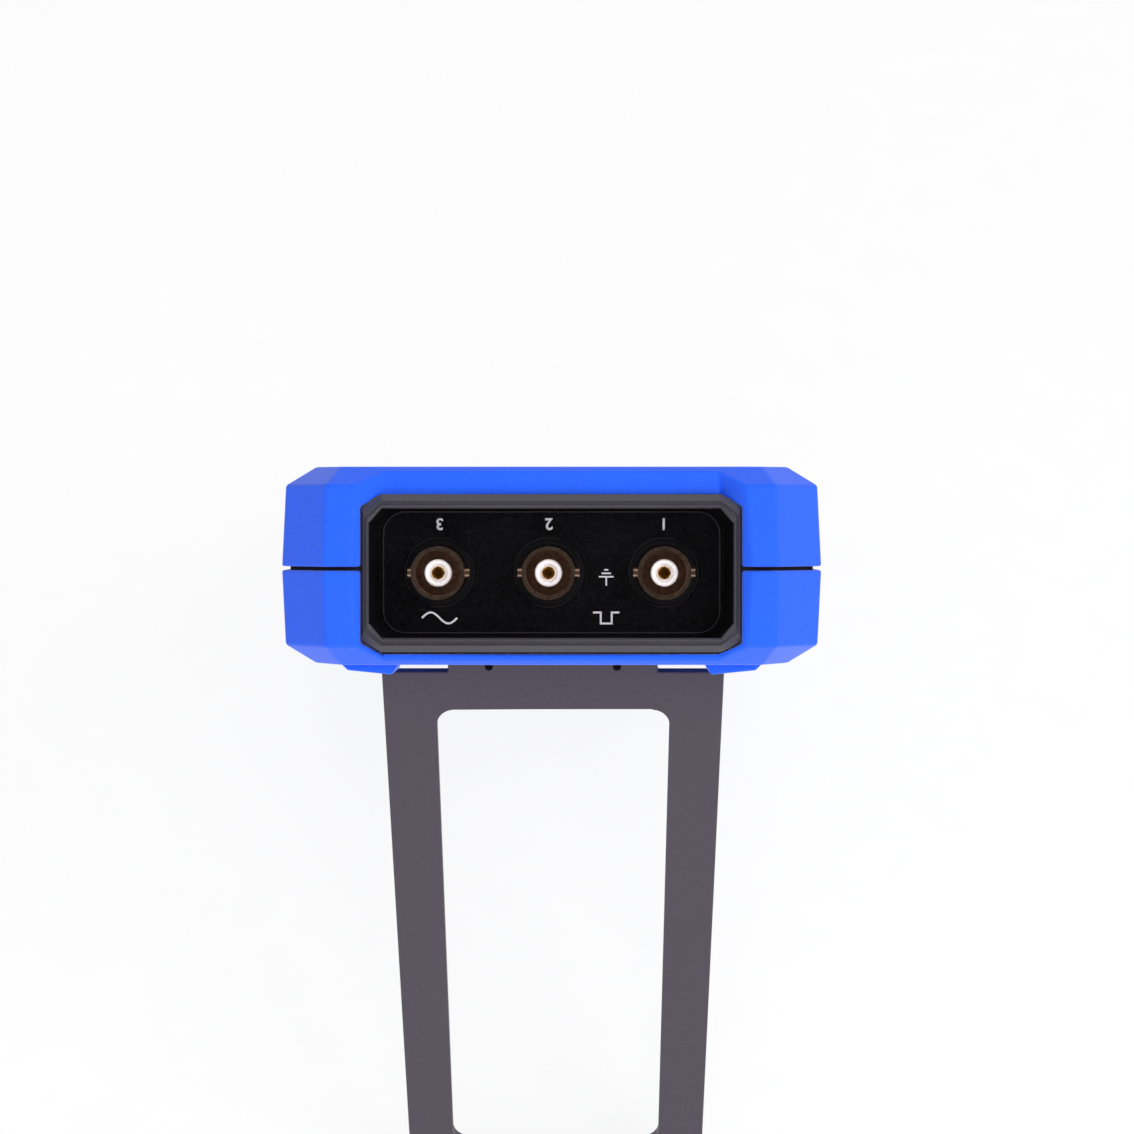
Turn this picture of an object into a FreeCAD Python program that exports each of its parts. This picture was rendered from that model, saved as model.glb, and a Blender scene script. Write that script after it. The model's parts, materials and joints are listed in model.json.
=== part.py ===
import FreeCAD, Part
import math
import os
from types import SimpleNamespace

import Sketcher
from FreeCAD import Placement, Rotation, Vector

# Handheld oscilloscope with a fold-out stand.
#
# Every piece is drawn in the instrument's own frame, in millimetres: X runs across the body (+X
# is the user's right as they face the screen), Y runs along it from the bottom end (0) to the
# connector end, and Z points out of the screen, with 0 at the joint between the two case halves.
# At the end the whole instrument is tilted back onto its open stand.

doc = FreeCAD.newDocument("HandheldOscilloscope")

DIMENSIONS = [
    # Outer body: an octagon with a shallow waist, drafted away from the joint
    ("BodyLength", 199.0), ("BodyHalfWidth", 49.0), ("CornerAcross", 8.3), ("CornerAlong", 9.0),
    ("WaistDepth", 2.5), ("WaistLow", 52.0), ("WaistHigh", 147.0), ("WaistRamp", 8.0),
    ("JointHalfGap", 0.35), ("SideDraft", 2.76),
    ("FrontZ", 18.4), ("BackZ", -16.8), ("HipAcross", 5.25), ("HipDown", 3.4),
    ("RecessHalf", 36.1), ("RecessFloorHalf", 30.25), ("RecessDepth", 3.6),
    # Hard case inside the bumpers
    ("CaseHalfWidth", 43.5), ("CaseLow", 6.1), ("CaseHigh", 187.0), ("CaseCorner", 10.0),
    ("CaseFrontZ", 17.2), ("CaseBackZ", -15.3), ("CaseWall", 2.0),
    ("FaceZ", 17.8), ("FaceHalf", 38.5), ("FaceLow", 12.0), ("FaceHigh", 181.0),
    ("FaceCorner", 8.0), ("RimGap", 0.2),
    ("BackFaceZ", -16.3), ("BackFaceHalf", 26.5), ("BackFaceLow", 33.0), ("BackFaceHigh", 152.0),
    ("GasketInset", 1.5),
    # Connector end
    ("ConnectorZ", -0.8), ("BezelHalf", 34.3), ("BezelTopZ", 13.2), ("BezelBottomZ", -14.9),
    ("BezelCornerX", 3.9), ("BezelCornerZ", 2.0), ("BezelFront", 197.6), ("BezelBevel", 1.2),
    ("MouthHalf", 33.3), ("MouthTopZ", 10.8), ("MouthBottomZ", -12.1),
    ("MouthCornerX", 2.6), ("MouthCornerZ", 2.4),
    ("PanelHalf", 30.5), ("PanelHalfHeight", 11.2), ("PanelCorner", 3.2), ("PanelFront", 188.5),
    ("PlateHalf", 32.5), ("PlateHalfHeight", 12.4), ("PanelHole", 6.5),
    # BNC sockets
    ("BncPitch", 20.4), ("BncMiddleShift", 0.5), ("BncTip", 198.0), ("BarrelOuter", 4.8),
    ("BarrelInner", 4.05), ("BarrelFloor", 189.5), ("ShoulderRadius", 6.0),
    ("BlockHalf", 6.0), ("BlockLow", 173.0), ("BlockBottomZ", -6.8),
    ("LugRadius", 1.0), ("LugReach", 5.6), ("LugSetback", 5.0),
    ("CollarRadius", 6.1), ("CollarFront", 189.4),
    ("InsulatorRadius", 2.47), ("InsulatorFront", 194.8), ("InsulatorRear", 176.0),
    ("ContactRadius", 1.18), ("ContactBore", 0.68), ("ContactFront", 195.2),
    ("ContactDepth", 6.0), ("ContactRear", 171.0),
    # Multimeter sockets
    ("JackPitch", 18.3), ("JackFront", 3.4), ("SleeveOuter", 5.8), ("SleeveInner", 4.6),
    ("SleeveFloor", 22.0), ("SleeveRear", 24.0), ("JackContactOuter", 2.9),
    ("JackBore", 2.0), ("JackContactFront", 6.0), ("JackBoreFloor", 25.0), ("JackRear", 27.0),
    ("JackPanelFront", 4.0), ("JackPanelHalf", 34.2), ("JackPanelTopZ", 11.3),
    ("JackPanelBottomZ", -12.9), ("JackPanelCorner", 3.0),
    # Screen, keys and boards
    ("WindowHalf", 34.0), ("WindowLow", 122.0), ("WindowHigh", 176.0), ("WindowCorner", 2.5),
    ("WindowBackZ", 16.6), ("WindowFrontZ", 17.95), ("ScreenHalf", 30.5), ("ScreenLow", 127.0),
    ("ScreenHigh", 171.0), ("ModuleBackZ", 10.0), ("ModuleFrontZ", 15.0),
    ("KeyTopZ", 19.0), ("KeyFlangeTopZ", 15.0), ("KeyBottomZ", 12.7), ("KeyFlange", 0.8),
    ("KeyClearance", 0.25), ("KeyCorner", 1.6), ("KeyCrown", 0.5),
    ("PadCentreY", 78.0), ("PadOuter", 13.5), ("PadInner", 6.6), ("PadKeySpan", 84.0),
    ("OkRadius", 5.8),
    ("MatTopZ", 11.0), ("MatDomeZ", 11.6), ("BoardTopZ", 9.8), ("BoardBottomZ", 8.2),
    ("BoardHalf", 34.0), ("BoardLow", 29.0), ("BoardHigh", 184.0), ("BoardCorner", 3.0),
    ("ShieldHalf", 31.0), ("ShieldLow", 126.0), ("ShieldHigh", 168.0), ("ShieldBottomZ", 3.2),
    ("ShieldWall", 0.5),
    # Batteries
    ("CellRadius", 9.2), ("CellLength", 65.0), ("CellLow", 45.0), ("CellZ", -3.6),
    ("CellSide", 9.4), ("CoverHalf", 21.8), ("CoverLow", 40.2), ("CoverHigh", 117.8),
    ("CoverInnerZ", -14.3), ("CoverGap", 0.2), ("DoorHalf", 19.8), ("DoorLow", 43.0),
    ("DoorHigh", 112.0), ("DoorWall", 1.2), ("CoverScrewX", 14.0), ("CoverScrewY", 115.0),
    ("CoverHeadRadius", 2.0), ("CoverHeadHeight", 1.0), ("CoverShankRadius", 1.0),
    # Case screws
    ("ScrewX", 37.5), ("ScrewLow", 36.0), ("ScrewHigh", 150.0), ("BossRadius", 3.4),
    ("HeadRadius", 2.6), ("HeadHeight", 1.7), ("ShankRadius", 1.3), ("ShankTopZ", 9.0),
    ("HeadWell", 3.3),
    # Feet on the rear bumper
    ("FootInner", 28.8), ("FootOuter", 39.3), ("FootFlare", 1.0), ("FootInnerZ", -19.8),
    ("FootOuterZ", -19.2), ("FootLength", 20.0), ("FootUpperLow", 170.0), ("FootLowerLow", 8.0),
    # Stand and its hinge
    ("HingeY", 163.0), ("HingeZ", -14.2), ("PinRadius", 0.9), ("PinHalf", 23.0),
    ("KnuckleRadius", 2.4), ("KnuckleHalf", 19.8), ("KnuckleBore", 0.95), ("SlotGap", 0.4),
    ("SlotLow", 160.2), ("SlotHigh", 169.05), ("SlotRoofZ", -11.3),
    ("NicheHalf", 24.0), ("NicheLow", 157.0), ("NicheHigh", 172.0), ("NicheRoofZ", -9.3),
    ("StandInnerZ", -16.95), ("StandOuterZ", -19.45), ("StandHalf", 32.35),
    ("StandShoulder", 4.3), ("StandLength", 130.0), ("StandFootHalf", 29.9),
    ("StandOpeningTop", 12.2), ("StandOpeningFoot", 119.0), ("StandOpeningHalf", 22.2),
    ("StandOpeningFootHalf", 21.1), ("StandCorner", 3.4), ("StandFootCorner", 5.0),
    ("TabReach", 2.4), ("TabHoleX", 12.1), ("TabHoleAlong", 2.6), ("TabHoleRadius", 0.8),
    ("StandAngle", 60.0),
    # USB socket and its flap, in the waist on the user's left
    ("UsbY", 100.0), ("UsbZ", 6.55), ("UsbHalfLength", 4.5), ("UsbHalfHeight", 1.6),
    ("UsbDepth", 7.5), ("UsbWall", 0.3), ("FlapHalfLength", 8.0), ("FlapHalfHeight", 3.9),
    ("FlapThickness", 1.6), ("FlapOuterX", 46.0), ("FlapGap", 0.2),
]


class Size:
    """A length that keeps both its value and its spreadsheet formula."""

    def __init__(self, value, formula):
        self.value = value
        self.formula = formula

    def __add__(self, other):
        other = as_size(other)
        return Size(self.value + other.value, f"({self.formula} + {other.formula})")

    def __sub__(self, other):
        other = as_size(other)
        return Size(self.value - other.value, f"({self.formula} - {other.formula})")

    def __mul__(self, number):
        return Size(self.value * number, f"({self.formula} * {number})")

    def __neg__(self):
        return Size(-self.value, f"(-{self.formula})")

    __radd__ = __add__

    def __rsub__(self, other):
        return as_size(other) - self


def as_size(number):
    return number if isinstance(number, Size) else Size(float(number), f"({number})")


sheet = doc.addObject("Spreadsheet::Sheet", "Dimensions")
for row, (alias, value) in enumerate(DIMENSIONS, 1):
    sheet.set(f"A{row}", alias)
    sheet.set(f"B{row}", str(value))
    sheet.setAlias(f"B{row}", alias)
doc.recompute()
dim = SimpleNamespace(**{
    alias: Size(getattr(sheet, alias), f"Dimensions.{alias}") for alias, _ in DIMENSIONS})

nodes = []


# ---------------------------------------------------------------- drawing and shaping

def bind(thing, prop, size):
    thing.setExpression(prop, as_size(size).formula)


def fix_point(sketch, curve, end, across, up):
    """Hold one point of a sketch at its place across and up from the sketch's origin."""
    for kind, size in (("DistanceX", across), ("DistanceY", up)):
        size = as_size(size)
        index = sketch.addConstraint(Sketcher.Constraint(kind, -1, 1, curve, end, size.value))
        sketch.setExpression(f"Constraints[{index}]", size.formula)


def fix_radius(sketch, curve, radius):
    index = sketch.addConstraint(Sketcher.Constraint("Radius", curve, radius.value))
    sketch.setExpression(f"Constraints[{index}]", radius.formula)


def polygon(points):
    """A closed outline of straight lines through the points."""
    points = [(as_size(across), as_size(up)) for across, up in points]

    def draw(sketch):
        first = sketch.GeometryCount
        count = len(points)
        corners = [Vector(across.value, up.value, 0) for across, up in points]
        for turn in range(count):
            line = Part.LineSegment(corners[turn], corners[(turn + 1) % count])
            sketch.addGeometry(line, False)
        for turn in range(count):
            following = first + (turn + 1) % count
            sketch.addConstraint(
                Sketcher.Constraint("Coincident", first + turn, 2, following, 1))
            fix_point(sketch, first + turn, 1, *points[turn])
    return draw


def circle(across, up, radius):
    across, up, radius = as_size(across), as_size(up), as_size(radius)

    def draw(sketch):
        centre = Vector(across.value, up.value, 0)
        curve = sketch.addGeometry(Part.Circle(centre, Vector(0, 0, 1), radius.value), False)
        fix_point(sketch, curve, 3, across, up)
        fix_radius(sketch, curve, radius)
    return draw


def rounded_rectangle(left, right, bottom, top, radius):
    """Four lines joined by four tangent arcs."""
    left, right, bottom, top = (as_size(side) for side in (left, right, bottom, top))
    radius = as_size(radius)
    centres = [(right - radius, bottom + radius, -90), (right - radius, top - radius, 0),
               (left + radius, top - radius, 90), (left + radius, bottom + radius, 180)]

    def draw(sketch):
        arcs = []
        for across, up, start in centres:
            ring = Part.Circle(Vector(across.value, up.value, 0), Vector(0, 0, 1), radius.value)
            arc = Part.ArcOfCircle(ring, math.radians(start), math.radians(start + 90))
            arcs.append((sketch.addGeometry(arc, False), arc))
        for turn, (curve, arc) in enumerate(arcs):
            following, next_arc = arcs[(turn + 1) % 4]
            line = sketch.addGeometry(Part.LineSegment(arc.EndPoint, next_arc.StartPoint), False)
            sketch.addConstraint(Sketcher.Constraint("Tangent", curve, 2, line, 1))
            sketch.addConstraint(Sketcher.Constraint("Tangent", line, 2, following, 1))
            across, up, _ = centres[turn]
            fix_point(sketch, curve, 3, across, up)
        for curve, _ in arcs[:3]:
            fix_radius(sketch, curve, radius)
    return draw


PLANE_NORMAL = {"XY_Plane": 1, "XZ_Plane": -1, "YZ_Plane": 1}


def new_body(name):
    body = doc.addObject("PartDesign::Body", name)
    body.Label = name
    nodes.append(body)
    return body


def new_sketch(body, plane, height, drawings):
    """A sketch parallel to one of the body's own planes, at a height along the body's axis."""
    sketch = body.newObject("Sketcher::SketchObject", body.Name + "_sketch")
    support = next(item for item in body.Origin.OriginFeatures if item.Role == plane)
    sketch.AttachmentSupport = [(support, "")]
    sketch.MapMode = "FlatFace"
    bind(sketch, "AttachmentOffset.Base.z", as_size(height) * PLANE_NORMAL[plane])
    for draw in drawings:
        draw(sketch)
    return sketch


def extrude(body, kind, plane, start, end, drawings):
    """Pad or pocket the drawings from one coordinate along the plane's axis to another."""
    start, end = as_size(start), as_size(end)
    sketch = new_sketch(body, plane, start, drawings)
    feature = body.newObject("PartDesign::" + kind, f"{body.Name}_{kind.lower()}")
    feature.Profile = sketch
    rises = (end.value > start.value) == (PLANE_NORMAL[plane] > 0)
    feature.Reversed = rises if kind == "Pocket" else not rises
    bind(feature, "Length", end - start if end.value > start.value else start - end)
    body.Tip = feature
    return feature


def pad(body, plane, start, end, *drawings):
    return extrude(body, "Pad", plane, start, end, drawings)


def pocket(body, plane, start, end, *drawings):
    return extrude(body, "Pocket", plane, start, end, drawings)


def revolve(body, kind, points, axis_x, axis_z):
    """Turn a half section, drawn as radius and length, about an axis that runs along Y."""
    section = polygon([(axis_x + radius, along) for radius, along in points])
    sketch = new_sketch(body, "XY_Plane", axis_z, [section])
    centre = as_size(axis_x)
    axis = sketch.addGeometry(
        Part.LineSegment(Vector(centre.value, 0, 0), Vector(centre.value, 10, 0)), True)
    fix_point(sketch, axis, 1, centre, 0)
    fix_point(sketch, axis, 2, centre, 10)
    feature = body.newObject("PartDesign::" + kind, f"{body.Name}_{kind.lower()}")
    feature.Profile = sketch
    feature.ReferenceAxis = (sketch, ["Axis0"])
    feature.Angle = 360.0
    body.Tip = feature
    return feature


def edge_names(shape, test):
    return [f"Edge{index}" for index, edge in enumerate(shape.Edges, 1) if test(edge)]


def lies_at(axis, size):
    """Test for the edges whose both ends lie at a coordinate along X, Y or Z (0, 1 or 2)."""
    return lambda edge: all(abs(v.Point[axis] - size.value) < 1e-4 for v in edge.Vertexes)


def dress(body, kind, test, **sizes):
    """Fillet or chamfer the edges of the body that pass the test."""
    doc.recompute()
    base = body.Tip
    feature = body.newObject("PartDesign::" + kind, f"{body.Name}_{kind.lower()}")
    feature.Base = (base, edge_names(base.Shape, test))
    if "Size2" in sizes:
        feature.ChamferType = "Two distances"
    for prop, size in sizes.items():
        bind(feature, prop, size)
    body.Tip = feature
    return feature


def mirrored(points):
    """Close an outline whose right half is given, from its low end to its high end."""
    return points + [(-across, up) for across, up in reversed(points)]


# ---------------------------------------------------------------- outlines shared by pieces

OFFSET_AT_CORNER = 0.41        # tan 22.5 degrees: how an octagon's corner moves when inset


def body_outline(inset):
    """The octagon with its waist, seen from the front."""
    side = dim.BodyHalfWidth - inset
    waist = side - dim.WaistDepth
    shift = inset * OFFSET_AT_CORNER
    end = dim.BodyHalfWidth - dim.CornerAcross - shift
    return mirrored([
        (end, inset), (side, dim.CornerAlong + shift),
        (side, dim.WaistLow - dim.WaistRamp), (waist, dim.WaistLow),
        (waist, dim.WaistHigh), (side, dim.WaistHigh + dim.WaistRamp),
        (side, dim.BodyLength - dim.CornerAlong - shift), (end, dim.BodyLength - inset)])


def octagon(half, low, high, corner_x, corner_y):
    return mirrored([(half - corner_x, low), (half, low + corner_y),
                     (half, high - corner_y), (half - corner_x, high)])


def case_outline(inset):
    corner = dim.CaseCorner - inset * 2 * OFFSET_AT_CORNER
    return octagon(dim.CaseHalfWidth - inset, dim.CaseLow + inset, dim.CaseHigh - inset,
                   corner, corner)


NO_INSET = as_size(0)
BEZEL_OUTLINE = octagon(dim.BezelHalf, dim.BezelBottomZ, dim.BezelTopZ,
                        dim.BezelCornerX, dim.BezelCornerZ)
JACK_PANEL_OUTLINE = octagon(dim.JackPanelHalf, dim.JackPanelBottomZ, dim.JackPanelTopZ,
                             dim.JackPanelCorner, dim.JackPanelCorner)
BNC_X = [-dim.BncPitch, dim.BncMiddleShift, dim.BncPitch]
JACK_X = [dim.JackPitch * step for step in (-1.5, -0.5, 0.5, 1.5)]
SCREWS = [(side, along) for along in (dim.ScrewLow, dim.ScrewHigh)
          for side in (dim.ScrewX, -dim.ScrewX)]
COVER_SCREWS = [(dim.CoverScrewX, dim.CoverScrewY), (-dim.CoverScrewX, dim.CoverScrewY)]

# Rectangular keys: name, centre across, centre along, width, height
KEYS = [(f"screen_key_{index + 1}", -25.5 + 17.0 * index, 112.0, 12.0, 5.6)
        for index in range(4)]
KEYS += [(f"left_key_{index + 1}", -25.5, 93.0 - 15.0 * index, 12.0, 7.0)
         for index in range(3)]
KEYS += [(f"right_key_{index + 1}", 25.5, 93.0 - 15.0 * index, 12.0, 7.0)
         for index in range(3)]
KEYS += [("run_key", -12.5, 43.0, 15.0, 8.0), ("power_key", 12.5, 43.0, 15.0, 8.0)]
ARROW_KEYS = [("right_arrow_key", 0), ("up_arrow_key", 90),
              ("left_arrow_key", 180), ("down_arrow_key", 270)]


def key_outline(across, along, width, height, grow):
    half_width, half_height = as_size(width / 2) + grow, as_size(height / 2) + grow
    return rounded_rectangle(across - half_width, across + half_width,
                             along - half_height, along + half_height, dim.KeyCorner + grow)


# ---------------------------------------------------------------- bumpers and gasket

def bumper(name, face, gap, case_face):
    """One half of the soft bumper: drafted sides, a bevelled hip, sunk ends, a case-sized hollow."""
    body = new_body(name)
    block = pad(body, "XY_Plane", gap, face, polygon(body_outline(NO_INSET)))
    block.setExpression("TaperAngle", "-Dimensions.SideDraft")
    dress(body, "Chamfer", lies_at(2, face), Size=dim.HipDown, Size2=dim.HipAcross)
    low, high = NO_INSET, dim.BodyLength
    for end, floor in ((low, low + dim.RecessDepth), (high, high - dim.RecessDepth)):
        pocket(body, "XY_Plane", gap, face, polygon([
            (dim.RecessHalf, end), (dim.RecessFloorHalf, floor),
            (-dim.RecessFloorHalf, floor), (-dim.RecessHalf, end)]))
    pocket(body, "XY_Plane", gap, case_face, polygon(case_outline(NO_INSET)))
    pocket(body, "XZ_Plane", dim.CaseHigh, dim.BodyLength, polygon(BEZEL_OUTLINE))
    pocket(body, "XZ_Plane", dim.CaseLow, NO_INSET, polygon(JACK_PANEL_OUTLINE))
    return body


front_bumper = bumper("front_bumper", dim.FrontZ, dim.JointHalfGap, dim.CaseFrontZ)
pocket(front_bumper, "XY_Plane", dim.CaseFrontZ, dim.FrontZ, polygon(
    octagon(dim.FaceHalf, dim.FaceLow, dim.FaceHigh, dim.FaceCorner, dim.FaceCorner)))
pocket(front_bumper, "YZ_Plane", -dim.CaseHalfWidth, -dim.BodyHalfWidth, rounded_rectangle(
    dim.UsbY - dim.FlapHalfLength - dim.FlapGap, dim.UsbY + dim.FlapHalfLength + dim.FlapGap,
    dim.UsbZ - dim.FlapHalfHeight - dim.FlapGap, dim.UsbZ + dim.FlapHalfHeight + dim.FlapGap,
    dim.FlapGap))

rear_bumper = bumper("rear_bumper", dim.BackZ, -dim.JointHalfGap, dim.CaseBackZ)
pocket(rear_bumper, "XY_Plane", dim.CaseBackZ, dim.BackZ,
       rounded_rectangle(-dim.BackFaceHalf, dim.BackFaceHalf, dim.BackFaceLow, dim.BackFaceHigh,
                         dim.CaseWall * 2),
       rounded_rectangle(-dim.KnuckleHalf - dim.SlotGap, dim.KnuckleHalf + dim.SlotGap,
                         dim.SlotLow, dim.SlotHigh, dim.SlotGap),
       *[circle(across, along, dim.HeadWell) for across, along in SCREWS])
for side in (1, -1):
    inner, outer = dim.FootInner * side, dim.FootOuter * side
    flare = dim.FootFlare * side
    foot = [(inner - flare, dim.BackZ), (outer + flare, dim.BackZ),
            (outer, dim.FootOuterZ), (inner, dim.FootInnerZ)]
    for low in (dim.FootUpperLow, dim.FootLowerLow):
        pad(rear_bumper, "XZ_Plane", low, low + dim.FootLength, polygon(foot))

# The gasket fills the groove between the bumpers, from the case out to just short of the surface.
case_gasket = new_body("case_gasket")
pad(case_gasket, "XY_Plane", -dim.JointHalfGap, dim.JointHalfGap,
    polygon(body_outline(dim.GasketInset)), polygon(case_outline(NO_INSET)))
pocket(case_gasket, "XY_Plane", -dim.JointHalfGap, dim.JointHalfGap,
       polygon([(dim.BezelHalf, dim.CaseHigh), (dim.BezelHalf, dim.BodyLength),
                (-dim.BezelHalf, dim.BodyLength), (-dim.BezelHalf, dim.CaseHigh)]),
       polygon([(dim.JackPanelHalf, 0), (dim.JackPanelHalf, dim.CaseLow),
                (-dim.JackPanelHalf, dim.CaseLow), (-dim.JackPanelHalf, 0)]))


# ---------------------------------------------------------------- hard case

front_case = new_body("front_case")
pad(front_case, "XY_Plane", 0, dim.CaseFrontZ, polygon(case_outline(NO_INSET)))
pad(front_case, "XY_Plane", dim.CaseFrontZ, dim.FaceZ, polygon(
    octagon(dim.FaceHalf - dim.RimGap, dim.FaceLow + dim.RimGap, dim.FaceHigh - dim.RimGap,
            dim.FaceCorner, dim.FaceCorner)))
front_roof = dim.CaseFrontZ - dim.CaseWall
pocket(front_case, "XY_Plane", 0, front_roof, polygon(case_outline(dim.CaseWall)))
pad(front_case, "XY_Plane", 0, front_roof,
    *[circle(across, along, dim.BossRadius) for across, along in SCREWS])
pocket(front_case, "XY_Plane", 0, dim.ShankTopZ,
       *[circle(across, along, dim.ShankRadius) for across, along in SCREWS])
pocket(front_case, "XY_Plane", dim.FaceZ, dim.WindowBackZ, rounded_rectangle(
    -dim.WindowHalf, dim.WindowHalf, dim.WindowLow, dim.WindowHigh, dim.WindowCorner))
pocket(front_case, "XY_Plane", dim.WindowBackZ, front_roof, rounded_rectangle(
    -dim.ScreenHalf, dim.ScreenHalf, dim.ScreenLow, dim.ScreenHigh, dim.WindowCorner))
pocket(front_case, "XY_Plane", dim.FaceZ, front_roof,
       circle(0, dim.PadCentreY, dim.PadOuter + dim.KeyClearance),
       *[key_outline(*key[1:], dim.KeyClearance) for key in KEYS])
pocket(front_case, "YZ_Plane", dim.CaseWall - dim.CaseHalfWidth, -dim.CaseHalfWidth,
       rounded_rectangle(dim.UsbY - dim.UsbHalfLength, dim.UsbY + dim.UsbHalfLength,
                         dim.UsbZ - dim.UsbHalfHeight, dim.UsbZ + dim.UsbHalfHeight,
                         dim.UsbHalfHeight - 0.05))

rear_case = new_body("rear_case")
rear_floor = dim.CaseBackZ + dim.CaseWall
pad(rear_case, "XY_Plane", dim.CaseBackZ, 0, polygon(case_outline(NO_INSET)))
pad(rear_case, "XY_Plane", dim.BackFaceZ, dim.CaseBackZ, rounded_rectangle(
    dim.RimGap - dim.BackFaceHalf, dim.BackFaceHalf - dim.RimGap,
    dim.BackFaceLow + dim.RimGap, dim.BackFaceHigh - dim.RimGap, dim.CaseWall * 2))
pocket(rear_case, "XY_Plane", 0, rear_floor, polygon(case_outline(dim.CaseWall)))
pad(rear_case, "XY_Plane", rear_floor, 0,
    *[circle(across, along, dim.BossRadius) for across, along in SCREWS])
pad(rear_case, "XY_Plane", rear_floor, dim.NicheRoofZ, rounded_rectangle(
    -dim.NicheHalf, dim.NicheHalf, dim.NicheLow, dim.NicheHigh, dim.CaseWall))
pad(rear_case, "XY_Plane", rear_floor, dim.NicheRoofZ,
    rounded_rectangle(-dim.DoorHalf - dim.DoorWall, dim.DoorHalf + dim.DoorWall,
                      dim.DoorLow - dim.DoorWall, dim.DoorHigh + dim.DoorWall, dim.CaseWall))
pad(rear_case, "XY_Plane", rear_floor, dim.NicheRoofZ,
    *[circle(across, along, dim.BossRadius) for across, along in COVER_SCREWS])
pocket(rear_case, "XY_Plane", dim.BackFaceZ, dim.CoverInnerZ, rounded_rectangle(
    -dim.CoverHalf - dim.CoverGap, dim.CoverHalf + dim.CoverGap,
    dim.CoverLow - dim.CoverGap, dim.CoverHigh + dim.CoverGap, dim.CaseWall))
pocket(rear_case, "XY_Plane", dim.CoverInnerZ, dim.NicheRoofZ, rounded_rectangle(
    -dim.DoorHalf, dim.DoorHalf, dim.DoorLow, dim.DoorHigh, dim.CaseWall * 0.5))
pocket(rear_case, "XY_Plane", dim.CaseBackZ, dim.SlotRoofZ, rounded_rectangle(
    -dim.KnuckleHalf - dim.SlotGap, dim.KnuckleHalf + dim.SlotGap,
    dim.SlotLow, dim.SlotHigh, dim.SlotGap))
pocket(rear_case, "YZ_Plane", -dim.PinHalf, dim.PinHalf,
       circle(dim.HingeY, dim.HingeZ, dim.PinRadius))
pocket(rear_case, "XY_Plane", dim.CaseBackZ, 0,
       *[circle(across, along, dim.ShankRadius) for across, along in SCREWS])
pocket(rear_case, "XY_Plane", dim.CaseBackZ, dim.CaseBackZ + dim.HeadHeight,
       *[circle(across, along, dim.HeadRadius) for across, along in SCREWS])
pocket(rear_case, "XY_Plane", dim.CoverInnerZ, dim.NicheRoofZ - 1,
       *[circle(across, along, dim.CoverShankRadius) for across, along in COVER_SCREWS])

# Both halves share the round openings in the two end walls.
for half in (front_case, rear_case):
    pocket(half, "XZ_Plane", dim.CaseHigh - dim.CaseWall * 2, dim.CaseHigh,
           *[circle(across, dim.ConnectorZ, dim.ShoulderRadius) for across in BNC_X])
    pocket(half, "XZ_Plane", dim.CaseLow + dim.CaseWall * 2, dim.CaseLow,
           *[circle(across, dim.ConnectorZ, dim.SleeveOuter) for across in JACK_X])

# Screws: a pan head in a well and a plain shank that ends in the front case's boss.

def screw_set(name, places, head_z, head_radius, head_height, shank_radius, shank_top):
    pieces = []
    for index, (across, along) in enumerate(places):
        parts = []
        for part, radius, low, height in (
                ("head", head_radius, head_z, head_height),
                ("shank", shank_radius, head_z + head_height, shank_top - head_z - head_height)):
            cylinder = doc.addObject("Part::Cylinder", f"{name}_{part}_{index + 1}")
            bind(cylinder, "Radius", radius)
            bind(cylinder, "Height", height)
            bind(cylinder, "Placement.Base.x", across)
            bind(cylinder, "Placement.Base.y", along)
            bind(cylinder, "Placement.Base.z", low)
            parts.append(cylinder)
        screw = doc.addObject("Part::MultiFuse", f"{name}_{index + 1}")
        screw.Shapes = parts
        pieces.append(screw)
    group = doc.addObject("Part::Compound", name)
    group.Links = pieces
    group.Label = name
    nodes.append(group)
    return group


screw_set("case_screws", SCREWS, dim.CaseBackZ, dim.HeadRadius, dim.HeadHeight,
          dim.ShankRadius, dim.ShankTopZ)
cover_screw_seat = dim.BackFaceZ + 0.3
screw_set("battery_cover_screws", COVER_SCREWS, cover_screw_seat, dim.CoverHeadRadius,
          dim.CoverHeadHeight, dim.CoverShankRadius, dim.NicheRoofZ - 1)

# ---------------------------------------------------------------- connector end

# The bezel frames the sockets: an octagon outside, a mouth that narrows to the panel inside.
connector_bezel = new_body("connector_bezel")
pad(connector_bezel, "XZ_Plane", dim.CaseHigh, dim.BezelFront, polygon(BEZEL_OUTLINE))
dress(connector_bezel, "Chamfer", lies_at(1, dim.BezelFront), Size=dim.BezelBevel)
mouth = new_sketch(connector_bezel, "XZ_Plane", dim.BezelFront, [polygon(octagon(
    dim.MouthHalf, dim.MouthBottomZ, dim.MouthTopZ, dim.MouthCornerX, dim.MouthCornerZ))])
PANEL_OUTLINE = rounded_rectangle(
    -dim.PanelHalf, dim.PanelHalf, dim.ConnectorZ - dim.PanelHalfHeight,
    dim.ConnectorZ + dim.PanelHalfHeight, dim.PanelCorner)
throat = new_sketch(connector_bezel, "XZ_Plane", dim.PanelFront, [PANEL_OUTLINE])
funnel = connector_bezel.newObject("PartDesign::SubtractiveLoft", "connector_bezel_funnel")
funnel.Profile = mouth
funnel.Sections = [throat]
funnel.Ruled = True
connector_bezel.Tip = funnel
PLATE_OUTLINE = polygon([
    (dim.PlateHalf, dim.ConnectorZ - dim.PlateHalfHeight),
    (dim.PlateHalf, dim.ConnectorZ + dim.PlateHalfHeight),
    (-dim.PlateHalf, dim.ConnectorZ + dim.PlateHalfHeight),
    (-dim.PlateHalf, dim.ConnectorZ - dim.PlateHalfHeight)])
pocket(connector_bezel, "XZ_Plane", dim.CaseHigh, dim.PanelFront, PLATE_OUTLINE)

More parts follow.
